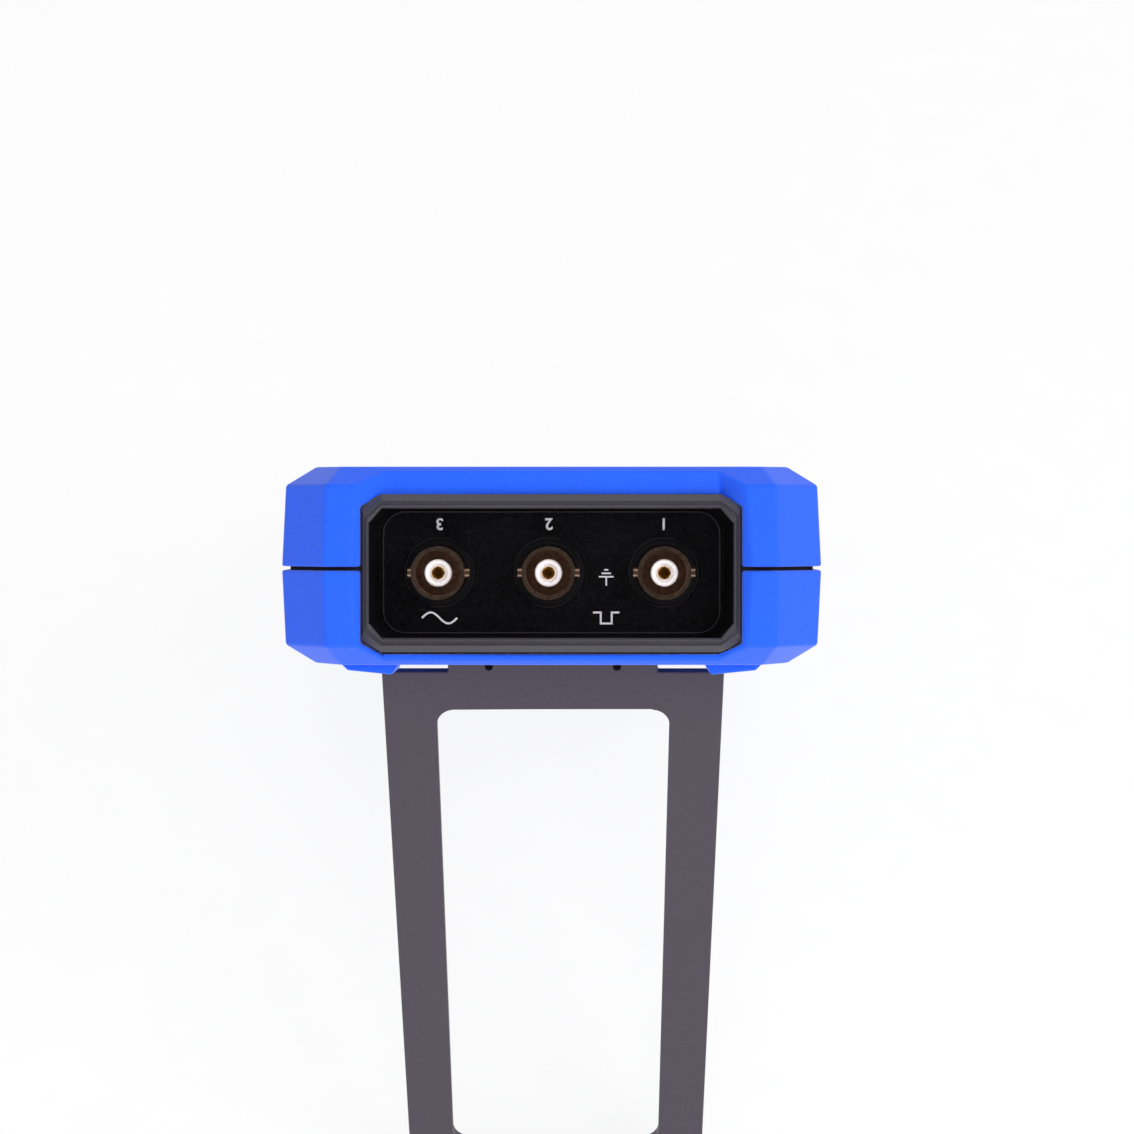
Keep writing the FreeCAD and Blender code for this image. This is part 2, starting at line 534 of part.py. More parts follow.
connector_panel = new_body("connector_panel")
pad(connector_panel, "XZ_Plane", dim.CaseHigh, dim.PanelFront, PLATE_OUTLINE)
pocket(connector_panel, "XZ_Plane", dim.CaseHigh, dim.PanelFront,
       *[circle(across, dim.ConnectorZ, dim.PanelHole) for across in BNC_X])


def bnc_socket(number, across):
    """A bayonet socket: shell with two lugs, a collar, an insulator and a slotted contact."""
    barrel = new_body(f"bnc_barrel_{number}")
    revolve(barrel, "Revolution", [
        (dim.InsulatorRadius, dim.InsulatorRear), (dim.ShoulderRadius, dim.InsulatorRear),
        (dim.ShoulderRadius, dim.CaseHigh), (dim.BarrelOuter, dim.CaseHigh),
        (dim.BarrelOuter, dim.BncTip), (dim.BarrelInner, dim.BncTip),
        (dim.BarrelInner, dim.BarrelFloor), (dim.InsulatorRadius, dim.BarrelFloor)],
        across, dim.ConnectorZ)
    lug_y = dim.BncTip - dim.LugSetback
    for side in (1, -1):
        pad(barrel, "YZ_Plane", across + dim.BarrelInner * side + 0.3 * side,
            across + dim.LugReach * side, circle(lug_y, dim.ConnectorZ, dim.LugRadius))
    half = dim.BlockHalf
    pad(barrel, "XZ_Plane", dim.BlockLow, dim.CaseHigh - dim.CaseWall - 0.2, polygon([
        (across + half, dim.BlockBottomZ), (across + half, dim.BoardBottomZ),
        (across - half, dim.BoardBottomZ), (across - half, dim.BlockBottomZ)]))
    pocket(barrel, "XZ_Plane", dim.BlockLow, dim.BarrelFloor,
           circle(across, dim.ConnectorZ, dim.InsulatorRadius))

    collar = new_body(f"bnc_collar_{number}")
    pad(collar, "XZ_Plane", dim.CaseHigh, dim.CollarFront,
        circle(across, dim.ConnectorZ, dim.CollarRadius),
        circle(across, dim.ConnectorZ, dim.BarrelOuter))
    dress(collar, "Chamfer", lies_at(1, dim.CollarFront), Size=as_size(0.25))

    insulator = new_body(f"bnc_insulator_{number}")
    pad(insulator, "XZ_Plane", dim.InsulatorRear, dim.InsulatorFront,
        circle(across, dim.ConnectorZ, dim.InsulatorRadius),
        circle(across, dim.ConnectorZ, dim.ContactRadius))

    contact = new_body(f"bnc_contact_{number}")
    pad(contact, "XZ_Plane", dim.ContactRear, dim.ContactFront,
        circle(across, dim.ConnectorZ, dim.ContactRadius))
    pocket(contact, "XZ_Plane", dim.ContactFront - dim.ContactDepth, dim.ContactFront,
           circle(across, dim.ConnectorZ, dim.ContactBore))


for number, across in enumerate(BNC_X, 1):
    bnc_socket(number, across)

# ---------------------------------------------------------------- multimeter sockets

jack_panel = new_body("jack_panel")
pad(jack_panel, "XZ_Plane", dim.JackPanelFront, dim.CaseLow, polygon(JACK_PANEL_OUTLINE))
pocket(jack_panel, "XZ_Plane", dim.JackPanelFront, dim.CaseLow,
       *[circle(across, dim.ConnectorZ, dim.SleeveOuter) for across in JACK_X])

for number, across in enumerate(JACK_X, 1):
    sleeve = new_body(f"jack_sleeve_{number}")
    revolve(sleeve, "Revolution", [
        (dim.SleeveInner, dim.JackFront), (dim.SleeveOuter, dim.JackFront),
        (dim.SleeveOuter, dim.SleeveRear), (dim.JackContactOuter, dim.SleeveRear),
        (dim.JackContactOuter, dim.SleeveFloor), (dim.SleeveInner, dim.SleeveFloor)],
        across, dim.ConnectorZ)
    contact = new_body(f"jack_contact_{number}")
    pad(contact, "XZ_Plane", dim.JackContactFront, dim.JackRear,
        circle(across, dim.ConnectorZ, dim.JackContactOuter))
    pocket(contact, "XZ_Plane", dim.JackBoreFloor, dim.JackContactFront,
           circle(across, dim.ConnectorZ, dim.JackBore))

# ---------------------------------------------------------------- screen, boards and keys

display_window = new_body("display_window")
pad(display_window, "XY_Plane", dim.WindowBackZ, dim.WindowFrontZ, rounded_rectangle(
    -dim.WindowHalf, dim.WindowHalf, dim.WindowLow, dim.WindowHigh, dim.WindowCorner))

display_module = new_body("display_module")
pad(display_module, "XY_Plane", dim.ModuleBackZ, dim.ModuleFrontZ, rounded_rectangle(
    -dim.WindowHalf, dim.WindowHalf, dim.WindowLow + 2, dim.WindowHigh - 2, dim.GasketInset))

main_board = new_body("main_board")
pad(main_board, "XY_Plane", dim.BoardBottomZ, dim.BoardTopZ, polygon(octagon(
    dim.BoardHalf, dim.BoardLow, dim.BoardHigh, dim.BoardCorner, dim.BoardCorner)))

input_shield = new_body("input_shield")
pad(input_shield, "XY_Plane", dim.ShieldBottomZ, dim.BoardBottomZ, rounded_rectangle(
    -dim.ShieldHalf, dim.ShieldHalf, dim.ShieldLow, dim.ShieldHigh, dim.GasketInset))
pocket(input_shield, "XY_Plane", dim.BoardBottomZ, dim.ShieldBottomZ + dim.ShieldWall,
       polygon([(dim.ShieldHalf - dim.ShieldWall, dim.ShieldLow + dim.ShieldWall),
                (dim.ShieldHalf - dim.ShieldWall, dim.ShieldHigh - dim.ShieldWall),
                (dim.ShieldWall - dim.ShieldHalf, dim.ShieldHigh - dim.ShieldWall),
                (dim.ShieldWall - dim.ShieldHalf, dim.ShieldLow + dim.ShieldWall)]))

keypad_mat = new_body("keypad_mat")
pad(keypad_mat, "XY_Plane", dim.BoardTopZ, dim.MatTopZ, rounded_rectangle(
    -dim.BoardHalf, dim.BoardHalf, dim.BoardLow + 3, dim.WindowLow - 2, dim.CaseWall))
pad(keypad_mat, "XY_Plane", dim.MatTopZ, dim.MatDomeZ,
    circle(0, dim.PadCentreY, dim.OkRadius - 2),
    *[circle(across, along, 2.4) for _, across, along, _, _ in KEYS])

for name, across, along, width, height in KEYS:
    key = new_body(name)
    pad(key, "XY_Plane", dim.KeyFlangeTopZ, dim.KeyTopZ,
        key_outline(across, along, width, height, NO_INSET))
    pad(key, "XY_Plane", dim.KeyBottomZ, dim.KeyFlangeTopZ,
        key_outline(across, along, width, height, dim.KeyFlange))
    dress(key, "Fillet", lies_at(2, dim.KeyTopZ), Radius=dim.KeyCrown)

ok_key = new_body("ok_key")
pad(ok_key, "XY_Plane", dim.KeyBottomZ, dim.KeyTopZ, circle(0, dim.PadCentreY, dim.OkRadius))
dress(ok_key, "Fillet", lies_at(2, dim.KeyTopZ), Radius=dim.KeyCrown)


def part_object(kind, name, turn=0.0, low=None, **sizes):
    """A round Part primitive that stands on the centre of the arrow pad."""
    item = doc.addObject("Part::" + kind, name)
    item.Placement.Rotation = Rotation(Vector(0, 0, 1), turn)
    for prop, size in sizes.items():
        bind(item, prop, size)
    bind(item, "Placement.Base.y", dim.PadCentreY)
    bind(item, "Placement.Base.z", low)
    return item


# Each arrow key is a quarter of a ring with a bevelled outer rim, over a wider flange.
bevel_z = dim.KeyTopZ - dim.KeyCrown
for name, middle in ARROW_KEYS:
    turn = middle - dim.PadKeySpan.value / 2
    flange = part_object("Cylinder", name + "_flange", turn, dim.KeyBottomZ,
                         Radius=dim.PadOuter + dim.KeyFlange, Angle=dim.PadKeySpan,
                         Height=dim.KeyFlangeTopZ - dim.KeyBottomZ)
    cap = part_object("Cylinder", name + "_cap", turn, dim.KeyFlangeTopZ,
                      Radius=dim.PadOuter, Angle=dim.PadKeySpan,
                      Height=bevel_z - dim.KeyFlangeTopZ)
    rim = part_object("Cone", name + "_rim", turn, bevel_z, Radius1=dim.PadOuter,
                      Radius2=dim.PadOuter - dim.KeyCrown, Angle=dim.PadKeySpan,
                      Height=dim.KeyCrown)
    bore = part_object("Cylinder", name + "_bore", turn, dim.KeyBottomZ,
                       Radius=dim.PadInner, Height=dim.KeyTopZ - dim.KeyBottomZ)
    fused = doc.addObject("Part::MultiFuse", name + "_fused")
    fused.Shapes = [flange, cap, rim]
    key = doc.addObject("Part::Cut", name)
    key.Base = fused
    key.Tool = bore
    key.Label = name
    nodes.append(key)

# ---------------------------------------------------------------- batteries and their cover

cells = []
for index, side in enumerate((1, -1)):
    cell = doc.addObject("Part::Cylinder", f"cell_{index + 1}")
    cell.Placement = Placement(Vector(0, 0, 0), Rotation(Vector(1, 0, 0), -90))
    bind(cell, "Radius", dim.CellRadius)
    bind(cell, "Height", dim.CellLength)
    bind(cell, "Placement.Base.x", dim.CellSide * side)
    bind(cell, "Placement.Base.y", dim.CellLow)
    bind(cell, "Placement.Base.z", dim.CellZ)
    cells.append(cell)
battery_cells = doc.addObject("Part::Compound", "battery_cells")
battery_cells.Links = cells
battery_cells.Label = "battery_cells"
nodes.append(battery_cells)

battery_cover = new_body("battery_cover")
pad(battery_cover, "XY_Plane", dim.BackFaceZ, dim.CoverInnerZ, rounded_rectangle(
    -dim.CoverHalf, dim.CoverHalf, dim.CoverLow, dim.CoverHigh, dim.CaseWall))
dress(battery_cover, "Chamfer", lies_at(2, dim.BackFaceZ), Size=as_size(0.4))
pocket(battery_cover, "XY_Plane", dim.BackFaceZ, dim.CoverInnerZ,
       *[circle(across, along, dim.CoverShankRadius) for across, along in COVER_SCREWS])
pocket(battery_cover, "XY_Plane", dim.BackFaceZ, cover_screw_seat + dim.CoverHeadHeight,
       *[circle(across, along, dim.CoverHeadRadius) for across, along in COVER_SCREWS])

# ---------------------------------------------------------------- stand

# Drawn folded flat on the back, with its length running from the hinge towards the bottom end.
kickstand = new_body("kickstand")


def along_stand(distance):
    return dim.HingeY - distance


pad(kickstand, "XY_Plane", dim.StandOuterZ, dim.StandInnerZ, polygon(mirrored([
    (dim.StandFootHalf, along_stand(dim.StandLength)),
    (dim.StandHalf, along_stand(dim.StandShoulder)),
    (dim.KnuckleHalf, along_stand(dim.StandShoulder)),
    (dim.KnuckleHalf, along_stand(-dim.TabReach))])))
pocket(kickstand, "XY_Plane", dim.StandOuterZ, dim.StandInnerZ, polygon(mirrored([
    (dim.StandOpeningFootHalf, along_stand(dim.StandOpeningFoot)),
    (dim.StandOpeningHalf, along_stand(dim.StandOpeningTop))])))


def upright_at(height_along, least_across):
    """Test for the short upright edges at one distance along the stand."""
    def test(edge):
        ends = [v.Point for v in edge.Vertexes]
        upright = abs(ends[0].x - ends[-1].x) + abs(ends[0].y - ends[-1].y) < 1e-4
        near = abs(ends[0].y - height_along.value) < 1e-3
        return upright and near and abs(ends[0].x) > least_across.value
    return test


for distance, across, radius in (
        (dim.StandOpeningTop, dim.KnuckleHalf, dim.StandCorner),
        (dim.StandOpeningFoot, dim.KnuckleHalf, dim.StandCorner),
        (dim.StandLength, dim.KnuckleHalf, dim.StandFootCorner)):
    dress(kickstand, "Fillet", upright_at(along_stand(distance), across), Radius=radius)
pad(kickstand, "YZ_Plane", -dim.KnuckleHalf, dim.KnuckleHalf,
    polygon([(along_stand(dim.TabReach - 0.6), dim.StandInnerZ),
             (along_stand(-dim.TabReach), dim.StandInnerZ),
             (along_stand(-dim.TabReach), dim.HingeZ),
             (along_stand(dim.TabReach - 0.6), dim.HingeZ)]))
pad(kickstand, "YZ_Plane", -dim.KnuckleHalf, dim.KnuckleHalf,
    circle(dim.HingeY, dim.HingeZ, dim.KnuckleRadius))
pocket(kickstand, "YZ_Plane", -dim.KnuckleHalf, dim.KnuckleHalf,
       circle(dim.HingeY, dim.HingeZ, dim.KnuckleBore))
pocket(kickstand, "XY_Plane", dim.StandOuterZ, dim.StandInnerZ,
       *[circle(dim.TabHoleX * side, along_stand(dim.TabHoleAlong), dim.TabHoleRadius)
         for side in (1, -1)])

hinge_pin = new_body("hinge_pin")
pad(hinge_pin, "YZ_Plane", -dim.PinHalf, dim.PinHalf,
    circle(dim.HingeY, dim.HingeZ, dim.PinRadius))

# ---------------------------------------------------------------- USB socket and flap

usb_socket = new_body("usb_socket")
usb_inner = dim.UsbHalfHeight - dim.UsbWall - 0.05
pad(usb_socket, "YZ_Plane", -dim.CaseHalfWidth, dim.UsbDepth - dim.CaseHalfWidth,
    rounded_rectangle(dim.UsbY - dim.UsbHalfLength, dim.UsbY + dim.UsbHalfLength,
                      dim.UsbZ - dim.UsbHalfHeight, dim.UsbZ + dim.UsbHalfHeight,
                      dim.UsbHalfHeight - 0.05))
pocket(usb_socket, "YZ_Plane", -dim.CaseHalfWidth, dim.UsbDepth - dim.CaseHalfWidth - 1,
       rounded_rectangle(dim.UsbY - dim.UsbHalfLength + dim.UsbWall,
                         dim.UsbY + dim.UsbHalfLength - dim.UsbWall,
                         dim.UsbZ - dim.UsbHalfHeight + dim.UsbWall,
                         dim.UsbZ + dim.UsbHalfHeight - dim.UsbWall, usb_inner))

# The flap's round end is the hinge: it turns about its own middle, half its thickness deep.
usb_flap = new_body("usb_flap")
flap_inner = dim.FlapThickness - dim.FlapOuterX
flap_pivot_y = dim.UsbY + dim.FlapHalfLength - dim.FlapThickness * 0.5
pad(usb_flap, "XY_Plane", dim.UsbZ - dim.FlapHalfHeight, dim.UsbZ + dim.FlapHalfHeight,
    polygon([(-dim.FlapOuterX, dim.UsbY - dim.FlapHalfLength),
             (flap_inner, dim.UsbY - dim.FlapHalfLength),
             (flap_inner, flap_pivot_y), (-dim.FlapOuterX, flap_pivot_y)]))
pad(usb_flap, "XY_Plane", dim.UsbZ - dim.FlapHalfHeight, dim.UsbZ + dim.FlapHalfHeight,
    circle(flap_inner - dim.FlapThickness * 0.5, flap_pivot_y, dim.FlapThickness * 0.5))

# ---------------------------------------------------------------- stance and export

doc.recompute()

# The stand opens by turning about X at the hinge; the body then leans back until its lower back
# edge and the stand's foot touch the same level surface.
hinge = Vector(0, dim.HingeY.value, dim.HingeZ.value)
opened = Placement(Vector(0, 0, 0), Rotation(Vector(1, 0, 0), dim.StandAngle.value), hinge)
kickstand.Placement = opened
doc.recompute()


def corner_points(items):
    return [vertex.Point for item in items for vertex in item.Shape.Vertexes]


def lowest_height(points, lean):
    return min(p.y * math.sin(lean) + p.z * math.cos(lean) for p in points)


body_points = corner_points([rear_bumper])
stand_points = corner_points([kickstand])
low_lean, high_lean = math.radians(20), math.radians(80)
for _ in range(60):
    lean = (low_lean + high_lean) / 2
    if lowest_height(stand_points, lean) < lowest_height(body_points, lean):
        low_lean = lean
    else:
        high_lean = lean
tilt = Rotation(Vector(1, 0, 0), math.degrees(lean))
turned = [tilt.multVec(point) for point in corner_points(nodes)]
middle = [(min(p[axis] for p in turned) + max(p[axis] for p in turned)) / 2 for axis in (0, 1)]
stance = Placement(Vector(-middle[0], -middle[1], -min(p.z for p in turned)), tilt)
for node in nodes:
    node.Placement = stance.multiply(node.Placement)
doc.recompute()

problems = [item.Name for item in doc.Objects
            if "Invalid" in item.State or "Error" in item.State]
problems += [node.Label for node in nodes if node.Shape.isNull() or not node.Shape.isValid()]
if problems:
    raise RuntimeError("these pieces failed to build: " + ", ".join(problems))

os.makedirs("parts", exist_ok=True)
for node in nodes:
    node.Shape.exportStep(os.path.join("parts", node.Label + ".step"))
print(len(nodes), "pieces; lean", round(math.degrees(lean), 6), "stance", stance.Base)
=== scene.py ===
import json
import math

import bmesh
import bpy
from mathutils import Matrix, Vector


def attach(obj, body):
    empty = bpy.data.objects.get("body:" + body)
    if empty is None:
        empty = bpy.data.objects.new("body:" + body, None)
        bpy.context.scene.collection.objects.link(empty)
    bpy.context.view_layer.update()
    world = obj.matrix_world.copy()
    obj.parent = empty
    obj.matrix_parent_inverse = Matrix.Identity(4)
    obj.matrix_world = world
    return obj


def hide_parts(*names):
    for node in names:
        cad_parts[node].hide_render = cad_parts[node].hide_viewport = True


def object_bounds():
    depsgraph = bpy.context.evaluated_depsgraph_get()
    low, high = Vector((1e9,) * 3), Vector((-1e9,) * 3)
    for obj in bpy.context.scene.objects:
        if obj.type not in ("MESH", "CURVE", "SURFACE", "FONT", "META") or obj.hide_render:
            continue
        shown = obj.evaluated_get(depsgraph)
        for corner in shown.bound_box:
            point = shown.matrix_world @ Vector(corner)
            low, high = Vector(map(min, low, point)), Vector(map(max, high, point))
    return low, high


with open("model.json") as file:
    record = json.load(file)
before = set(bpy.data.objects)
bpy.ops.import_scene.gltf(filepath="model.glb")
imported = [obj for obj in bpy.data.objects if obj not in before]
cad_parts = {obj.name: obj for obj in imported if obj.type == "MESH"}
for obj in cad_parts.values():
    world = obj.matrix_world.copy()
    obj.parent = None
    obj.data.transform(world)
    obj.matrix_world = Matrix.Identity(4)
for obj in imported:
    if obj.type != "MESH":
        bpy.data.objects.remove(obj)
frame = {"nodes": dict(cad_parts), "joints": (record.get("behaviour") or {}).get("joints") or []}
cad_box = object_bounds()
scene = bpy.context.scene
scene.view_settings.view_transform = "Standard"
MM = 0.001

# ---------------------------------------------------------------- camera
# The instrument leans back on its stand, so everything is placed in its own axes: X across it, Y
# from its bottom end to its connector end, Z out of the screen from the joint of the case halves.
# A long lens looks at the connector end from a little above the joint.

ACROSS = Vector((1, 0, 0))
KEY_TRAVEL = next(Vector(joint["axis"]) for joint in frame["joints"]
                  if joint["name"] == "ok_key_press")
FACE = -KEY_TRAVEL.normalized()
ALONG = FACE.cross(ACROSS)


def span(node, axis):
    """The lowest and highest place of a node along an axis."""
    places = [axis.dot(vertex.co) for vertex in frame["nodes"][node].data.vertices]
    return min(places), max(places)


INSTRUMENT = Matrix((ACROSS, ALONG, FACE)).transposed().to_4x4()
INSTRUMENT.translation = (ALONG * span("front_bumper", ALONG)[0]
                          + FACE * sum(span("case_gasket", FACE)) / 2)


def reach(node):
    """A node's lowest and highest corner in the instrument's axes."""
    to_instrument = INSTRUMENT.inverted()
    places = [to_instrument @ vertex.co for vertex in frame["nodes"][node].data.vertices]
    low = Vector([min(place[axis] for place in places) for axis in range(3)])
    high = Vector([max(place[axis] for place in places) for axis in range(3)])
    return low, high


def middle(node):
    """The middle of a node's box in the instrument's axes."""
    low, high = reach(node)
    return (low + high) / 2


CAMERA_AWAY = 612.4 * MM        # from the bumper's connector end
CAMERA_SIDE = -6.63 * MM
CAMERA_UP = 9.64 * MM
LENS = 108.6                    # millimetres, on a sensor 36 mm wide
AIM_DOWN = 0.0152               # slopes off the instrument's long axis
AIM_SIDE = 0.00614
NEAREST = 20 * MM

camera = bpy.data.objects.new("camera", bpy.data.cameras.new("camera"))
scene.collection.objects.link(camera)
scene.camera = camera
camera.data.lens = LENS
camera.data.clip_start = NEAREST
ahead = (-ALONG + ACROSS * AIM_SIDE - FACE * AIM_DOWN).normalized()
to_right = ahead.cross(FACE).normalized()
camera.matrix_world = Matrix((to_right, to_right.cross(ahead), -ahead)).transposed().to_4x4()
body_end = reach("front_bumper")[1].y
camera.location = INSTRUMENT @ Vector((CAMERA_SIDE, body_end + CAMERA_AWAY, CAMERA_UP))


# ---------------------------------------------------------------- studio
# A white paper floor in a white room. The eye and reflections see the room at full white, with a
# dark card behind the camera, while the light that it casts on the object is only moderate.

def linear(code):
    """An sRGB hex colour as linear red, green, blue and an alpha of 1."""
    channels = [int(code[place:place + 2], 16) / 255 for place in (1, 3, 5)]
    return [c / 12.92 if c <= 0.04045 else ((c + 0.055) / 1.055) ** 2.4 for c in channels] + [1]


def add(tree, kind, inputs=None, **settings):
    """Add one shader node. Each input takes a value, or the socket that feeds it."""
    item = tree.nodes.new("ShaderNode" + kind)
    for name, value in settings.items():
        setattr(item, name, value)
    for socket, value in (inputs or {}).items():
        if isinstance(value, bpy.types.NodeSocket):
            tree.links.new(value, item.inputs[socket])
        else:
            item.inputs[socket].default_value = value
    return item


def two_tones(tree, factor, dark, light, low=0.35, high=0.65):
    """A colour that runs from dark to light as the factor rises from low to high."""
    ramp = add(tree, "ValToRGB", {"Fac": factor})
    for stop, place, colour in zip(ramp.color_ramp.elements, (low, high), (dark, light)):
        stop.position = place
        stop.color = linear(colour)
    return ramp.outputs["Color"]


def start_material(name):
    material = bpy.data.materials.new(name)
    material.use_nodes = True
    material.node_tree.nodes.clear()
    return material, material.node_tree


def either(tree, *sockets):
    """The greatest of some sockets."""
    result = sockets[0]
    for socket in sockets[1:]:
        result = add(tree, "Math", {0: result, 1: socket}, operation="MAXIMUM").outputs[0]
    return result


FLOOR_HALF = 2.0                # metres
FIBRE_CLUMP = 11.11 * MM        # single fibres are too fine to show
PAPER_GLOW = 0.86               # the share of full white that the eye is given


def white_paper():
    """Uncoated paper: it scatters light evenly, so it shows nothing but the object's shadow."""
    material, tree = start_material("white_paper")
    fibre = add(tree, "TexNoise", {"Vector": add(tree, "TexCoord").outputs["Object"],
                                   "Scale": 1 / FIBRE_CLUMP, "Detail": 4.0})
    tone = two_tones(tree, fibre.outputs["Fac"], "#f0f0f0", "#f6f6f6")
    matte = add(tree, "BsdfDiffuse", {"Color": tone})
    glow = add(tree, "Emission", {"Color": linear("#ffffff"), "Strength": 1.0})
    path = add(tree, "LightPath")
    seen = either(tree, path.outputs["Is Camera Ray"], path.outputs["Is Glossy Ray"],
                  path.outputs["Is Transmission Ray"])
    share = add(tree, "Math", {0: seen, 1: PAPER_GLOW}, operation="MULTIPLY")
    mixed = add(tree, "MixShader", {0: share.outputs[0], 1: matte.outputs[0],
                                    2: glow.outputs[0]})
    add(tree, "OutputMaterial", {"Surface": mixed.outputs[0]})
    return material


floor_shape = bmesh.new()
bmesh.ops.create_grid(floor_shape, x_segments=1, y_segments=1, size=FLOOR_HALF)
floor_mesh = bpy.data.meshes.new("floor")
floor_shape.to_mesh(floor_mesh)
floor_shape.free()
floor = bpy.data.objects.new("floor", floor_mesh)
scene.collection.objects.link(floor)
floor_mesh.materials.append(white_paper())

ROOM_LIGHT = 0.42               # what the room casts on the object
CARD_LIGHT = 0.03               # what the dark card shows in reflections
CARD_EDGE = math.cos(math.radians(66))      # how far off the long axis the card fades out
CARD_CORE = math.cos(math.radians(38))      # and how far off it is fully dark
room = bpy.data.worlds.new("white_room")
scene.world = room
room.use_nodes = True
sky = room.node_tree
sky.nodes.clear()
towards = add(sky, "VectorMath", {0: add(sky, "TexCoord").outputs["Generated"], 1: ALONG},
              operation="DOT_PRODUCT")
card = add(sky, "MapRange", {"Value": towards.outputs["Value"], "From Min": CARD_EDGE,
                             "From Max": CARD_CORE, "To Min": 1.0, "To Max": CARD_LIGHT})
path = add(sky, "LightPath")
mirrored_light = add(sky, "Math", {0: card.outputs["Result"], 1: path.outputs["Is Glossy Ray"]},
                     operation="MULTIPLY")
others = add(sky, "Math", {0: 1.0, 1: path.outputs["Is Glossy Ray"]}, operation="SUBTRACT")
cast_light = add(sky, "Math", {0: others.outputs[0], 1: ROOM_LIGHT}, operation="MULTIPLY")
level = either(sky, path.outputs["Is Camera Ray"], path.outputs["Is Transmission Ray"],
               mirrored_light.outputs[0], cast_light.outputs[0])
backdrop = add(sky, "Background", {"Color": linear("#ffffff"), "Strength": level})
add(sky, "OutputWorld", {"Surface": backdrop.outputs[0]})


def soft_box(name, place, width, watts):
    """A round lamp that faces the middle of the object, with its width in metres."""
    lamp = bpy.data.lights.new(name, "AREA")
    lamp.shape = "DISK"
    lamp.size = width
    lamp.energy = watts
    box = bpy.data.objects.new(name, lamp)
    scene.collection.objects.link(box)
    box.location = place
    box.rotation_mode = "QUATERNION"
    aim = (cad_box[0] + cad_box[1]) / 2 - box.location
    box.rotation_quaternion = aim.to_track_quat("-Z", "Y")
    box.visible_glossy = False         # the room, not the lamps, shows in reflections


# Places are in metres, in the instrument's axes except for the lamp over the screen.
soft_box("key_light", INSTRUMENT @ Vector((-0.45, 0.70, 0.12)), 0.5, 3.0)
soft_box("fill_light", INSTRUMENT @ Vector((0.52, 0.62, 0.05)), 0.6, 0.7)
soft_box("low_light", INSTRUMENT @ Vector((0.05, 0.72, -0.36)), 0.5, 1.7)
soft_box("screen_light", Vector((-0.25, -0.75, 0.85)), 0.7, 2.6)
soft_box("front_light", INSTRUMENT @ Vector((-0.06, 0.90, 0.06)), 0.3, 1.0)


# ---------------------------------------------------------------- bumpers
# Two halves of a soft bumper, moulded over the hard case in a saturated blue elastomer. Matte to
# the touch, with a fine spark-eroded grain and a pale bloom where it is seen at a low angle.

HANDLED = 18 * MM               # the patches that handling polishes
GRIT_SHARE = 0.75               # the grit's share of the tone; the rest follows the handling
POLISH_SWING = 0.04


def moulded(name, dark, light, roughness, grain, relief, specular=0.5, sheen=0.0, coat=0.0):
    """A moulded surface. The grain's width and relief are in millimetres.

    Real grains are often below 0.1 mm, and are drawn coarser, as they have to be to show.
    """
    material, tree = start_material(name)
    place = add(tree, "TexCoord").outputs["Object"]
    grit = add(tree, "TexNoise", {"Vector": place, "Scale": 1 / (grain * MM), "Detail": 3.0,
                                  "Roughness": 0.6})
    handled = add(tree, "TexNoise", {"Vector": place, "Scale": 1 / HANDLED, "Detail": 2.0})
    weight = add(tree, "Math", {0: grit.outputs["Fac"], 1: GRIT_SHARE}, operation="MULTIPLY")
    tone = add(tree, "Math", {0: handled.outputs["Fac"], 1: 1 - GRIT_SHARE,
                              2: weight.outputs[0]}, operation="MULTIPLY_ADD")
    polish = add(tree, "MapRange", {"Value": handled.outputs["Fac"], "From Min": 0.3,
                                    "From Max": 0.7, "To Min": roughness - POLISH_SWING,
                                    "To Max": roughness + POLISH_SWING})
    bumps = add(tree, "Bump", {"Height": grit.outputs["Fac"], "Distance": relief * MM})
    surface = add(tree, "BsdfPrincipled", {
        "Base Color": two_tones(tree, tone.outputs[0], dark, light),
        "Roughness": polish.outputs["Result"], "Normal": bumps.outputs["Normal"],
        "IOR": 1.5, "Specular IOR Level": specular, "Sheen Weight": sheen,
        "Sheen Roughness": 0.45, "Coat Weight": coat, "Coat Roughness": 0.15})
    add(tree, "OutputMaterial", {"Surface": surface.outputs[0]})
    return material


def place_piece(name, mesh, material, body):
    """Put a finished mesh into the scene as a piece that rides on a body.
    """
    piece = bpy.data.objects.new(name, mesh)
    scene.collection.objects.link(piece)
    mesh.materials.append(material)
    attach(piece, body)
    return piece


MERGED = 0.02 * MM              # corners closer than this are one
EXACT = 0.001 * MM
FLAT = math.radians(0.3)


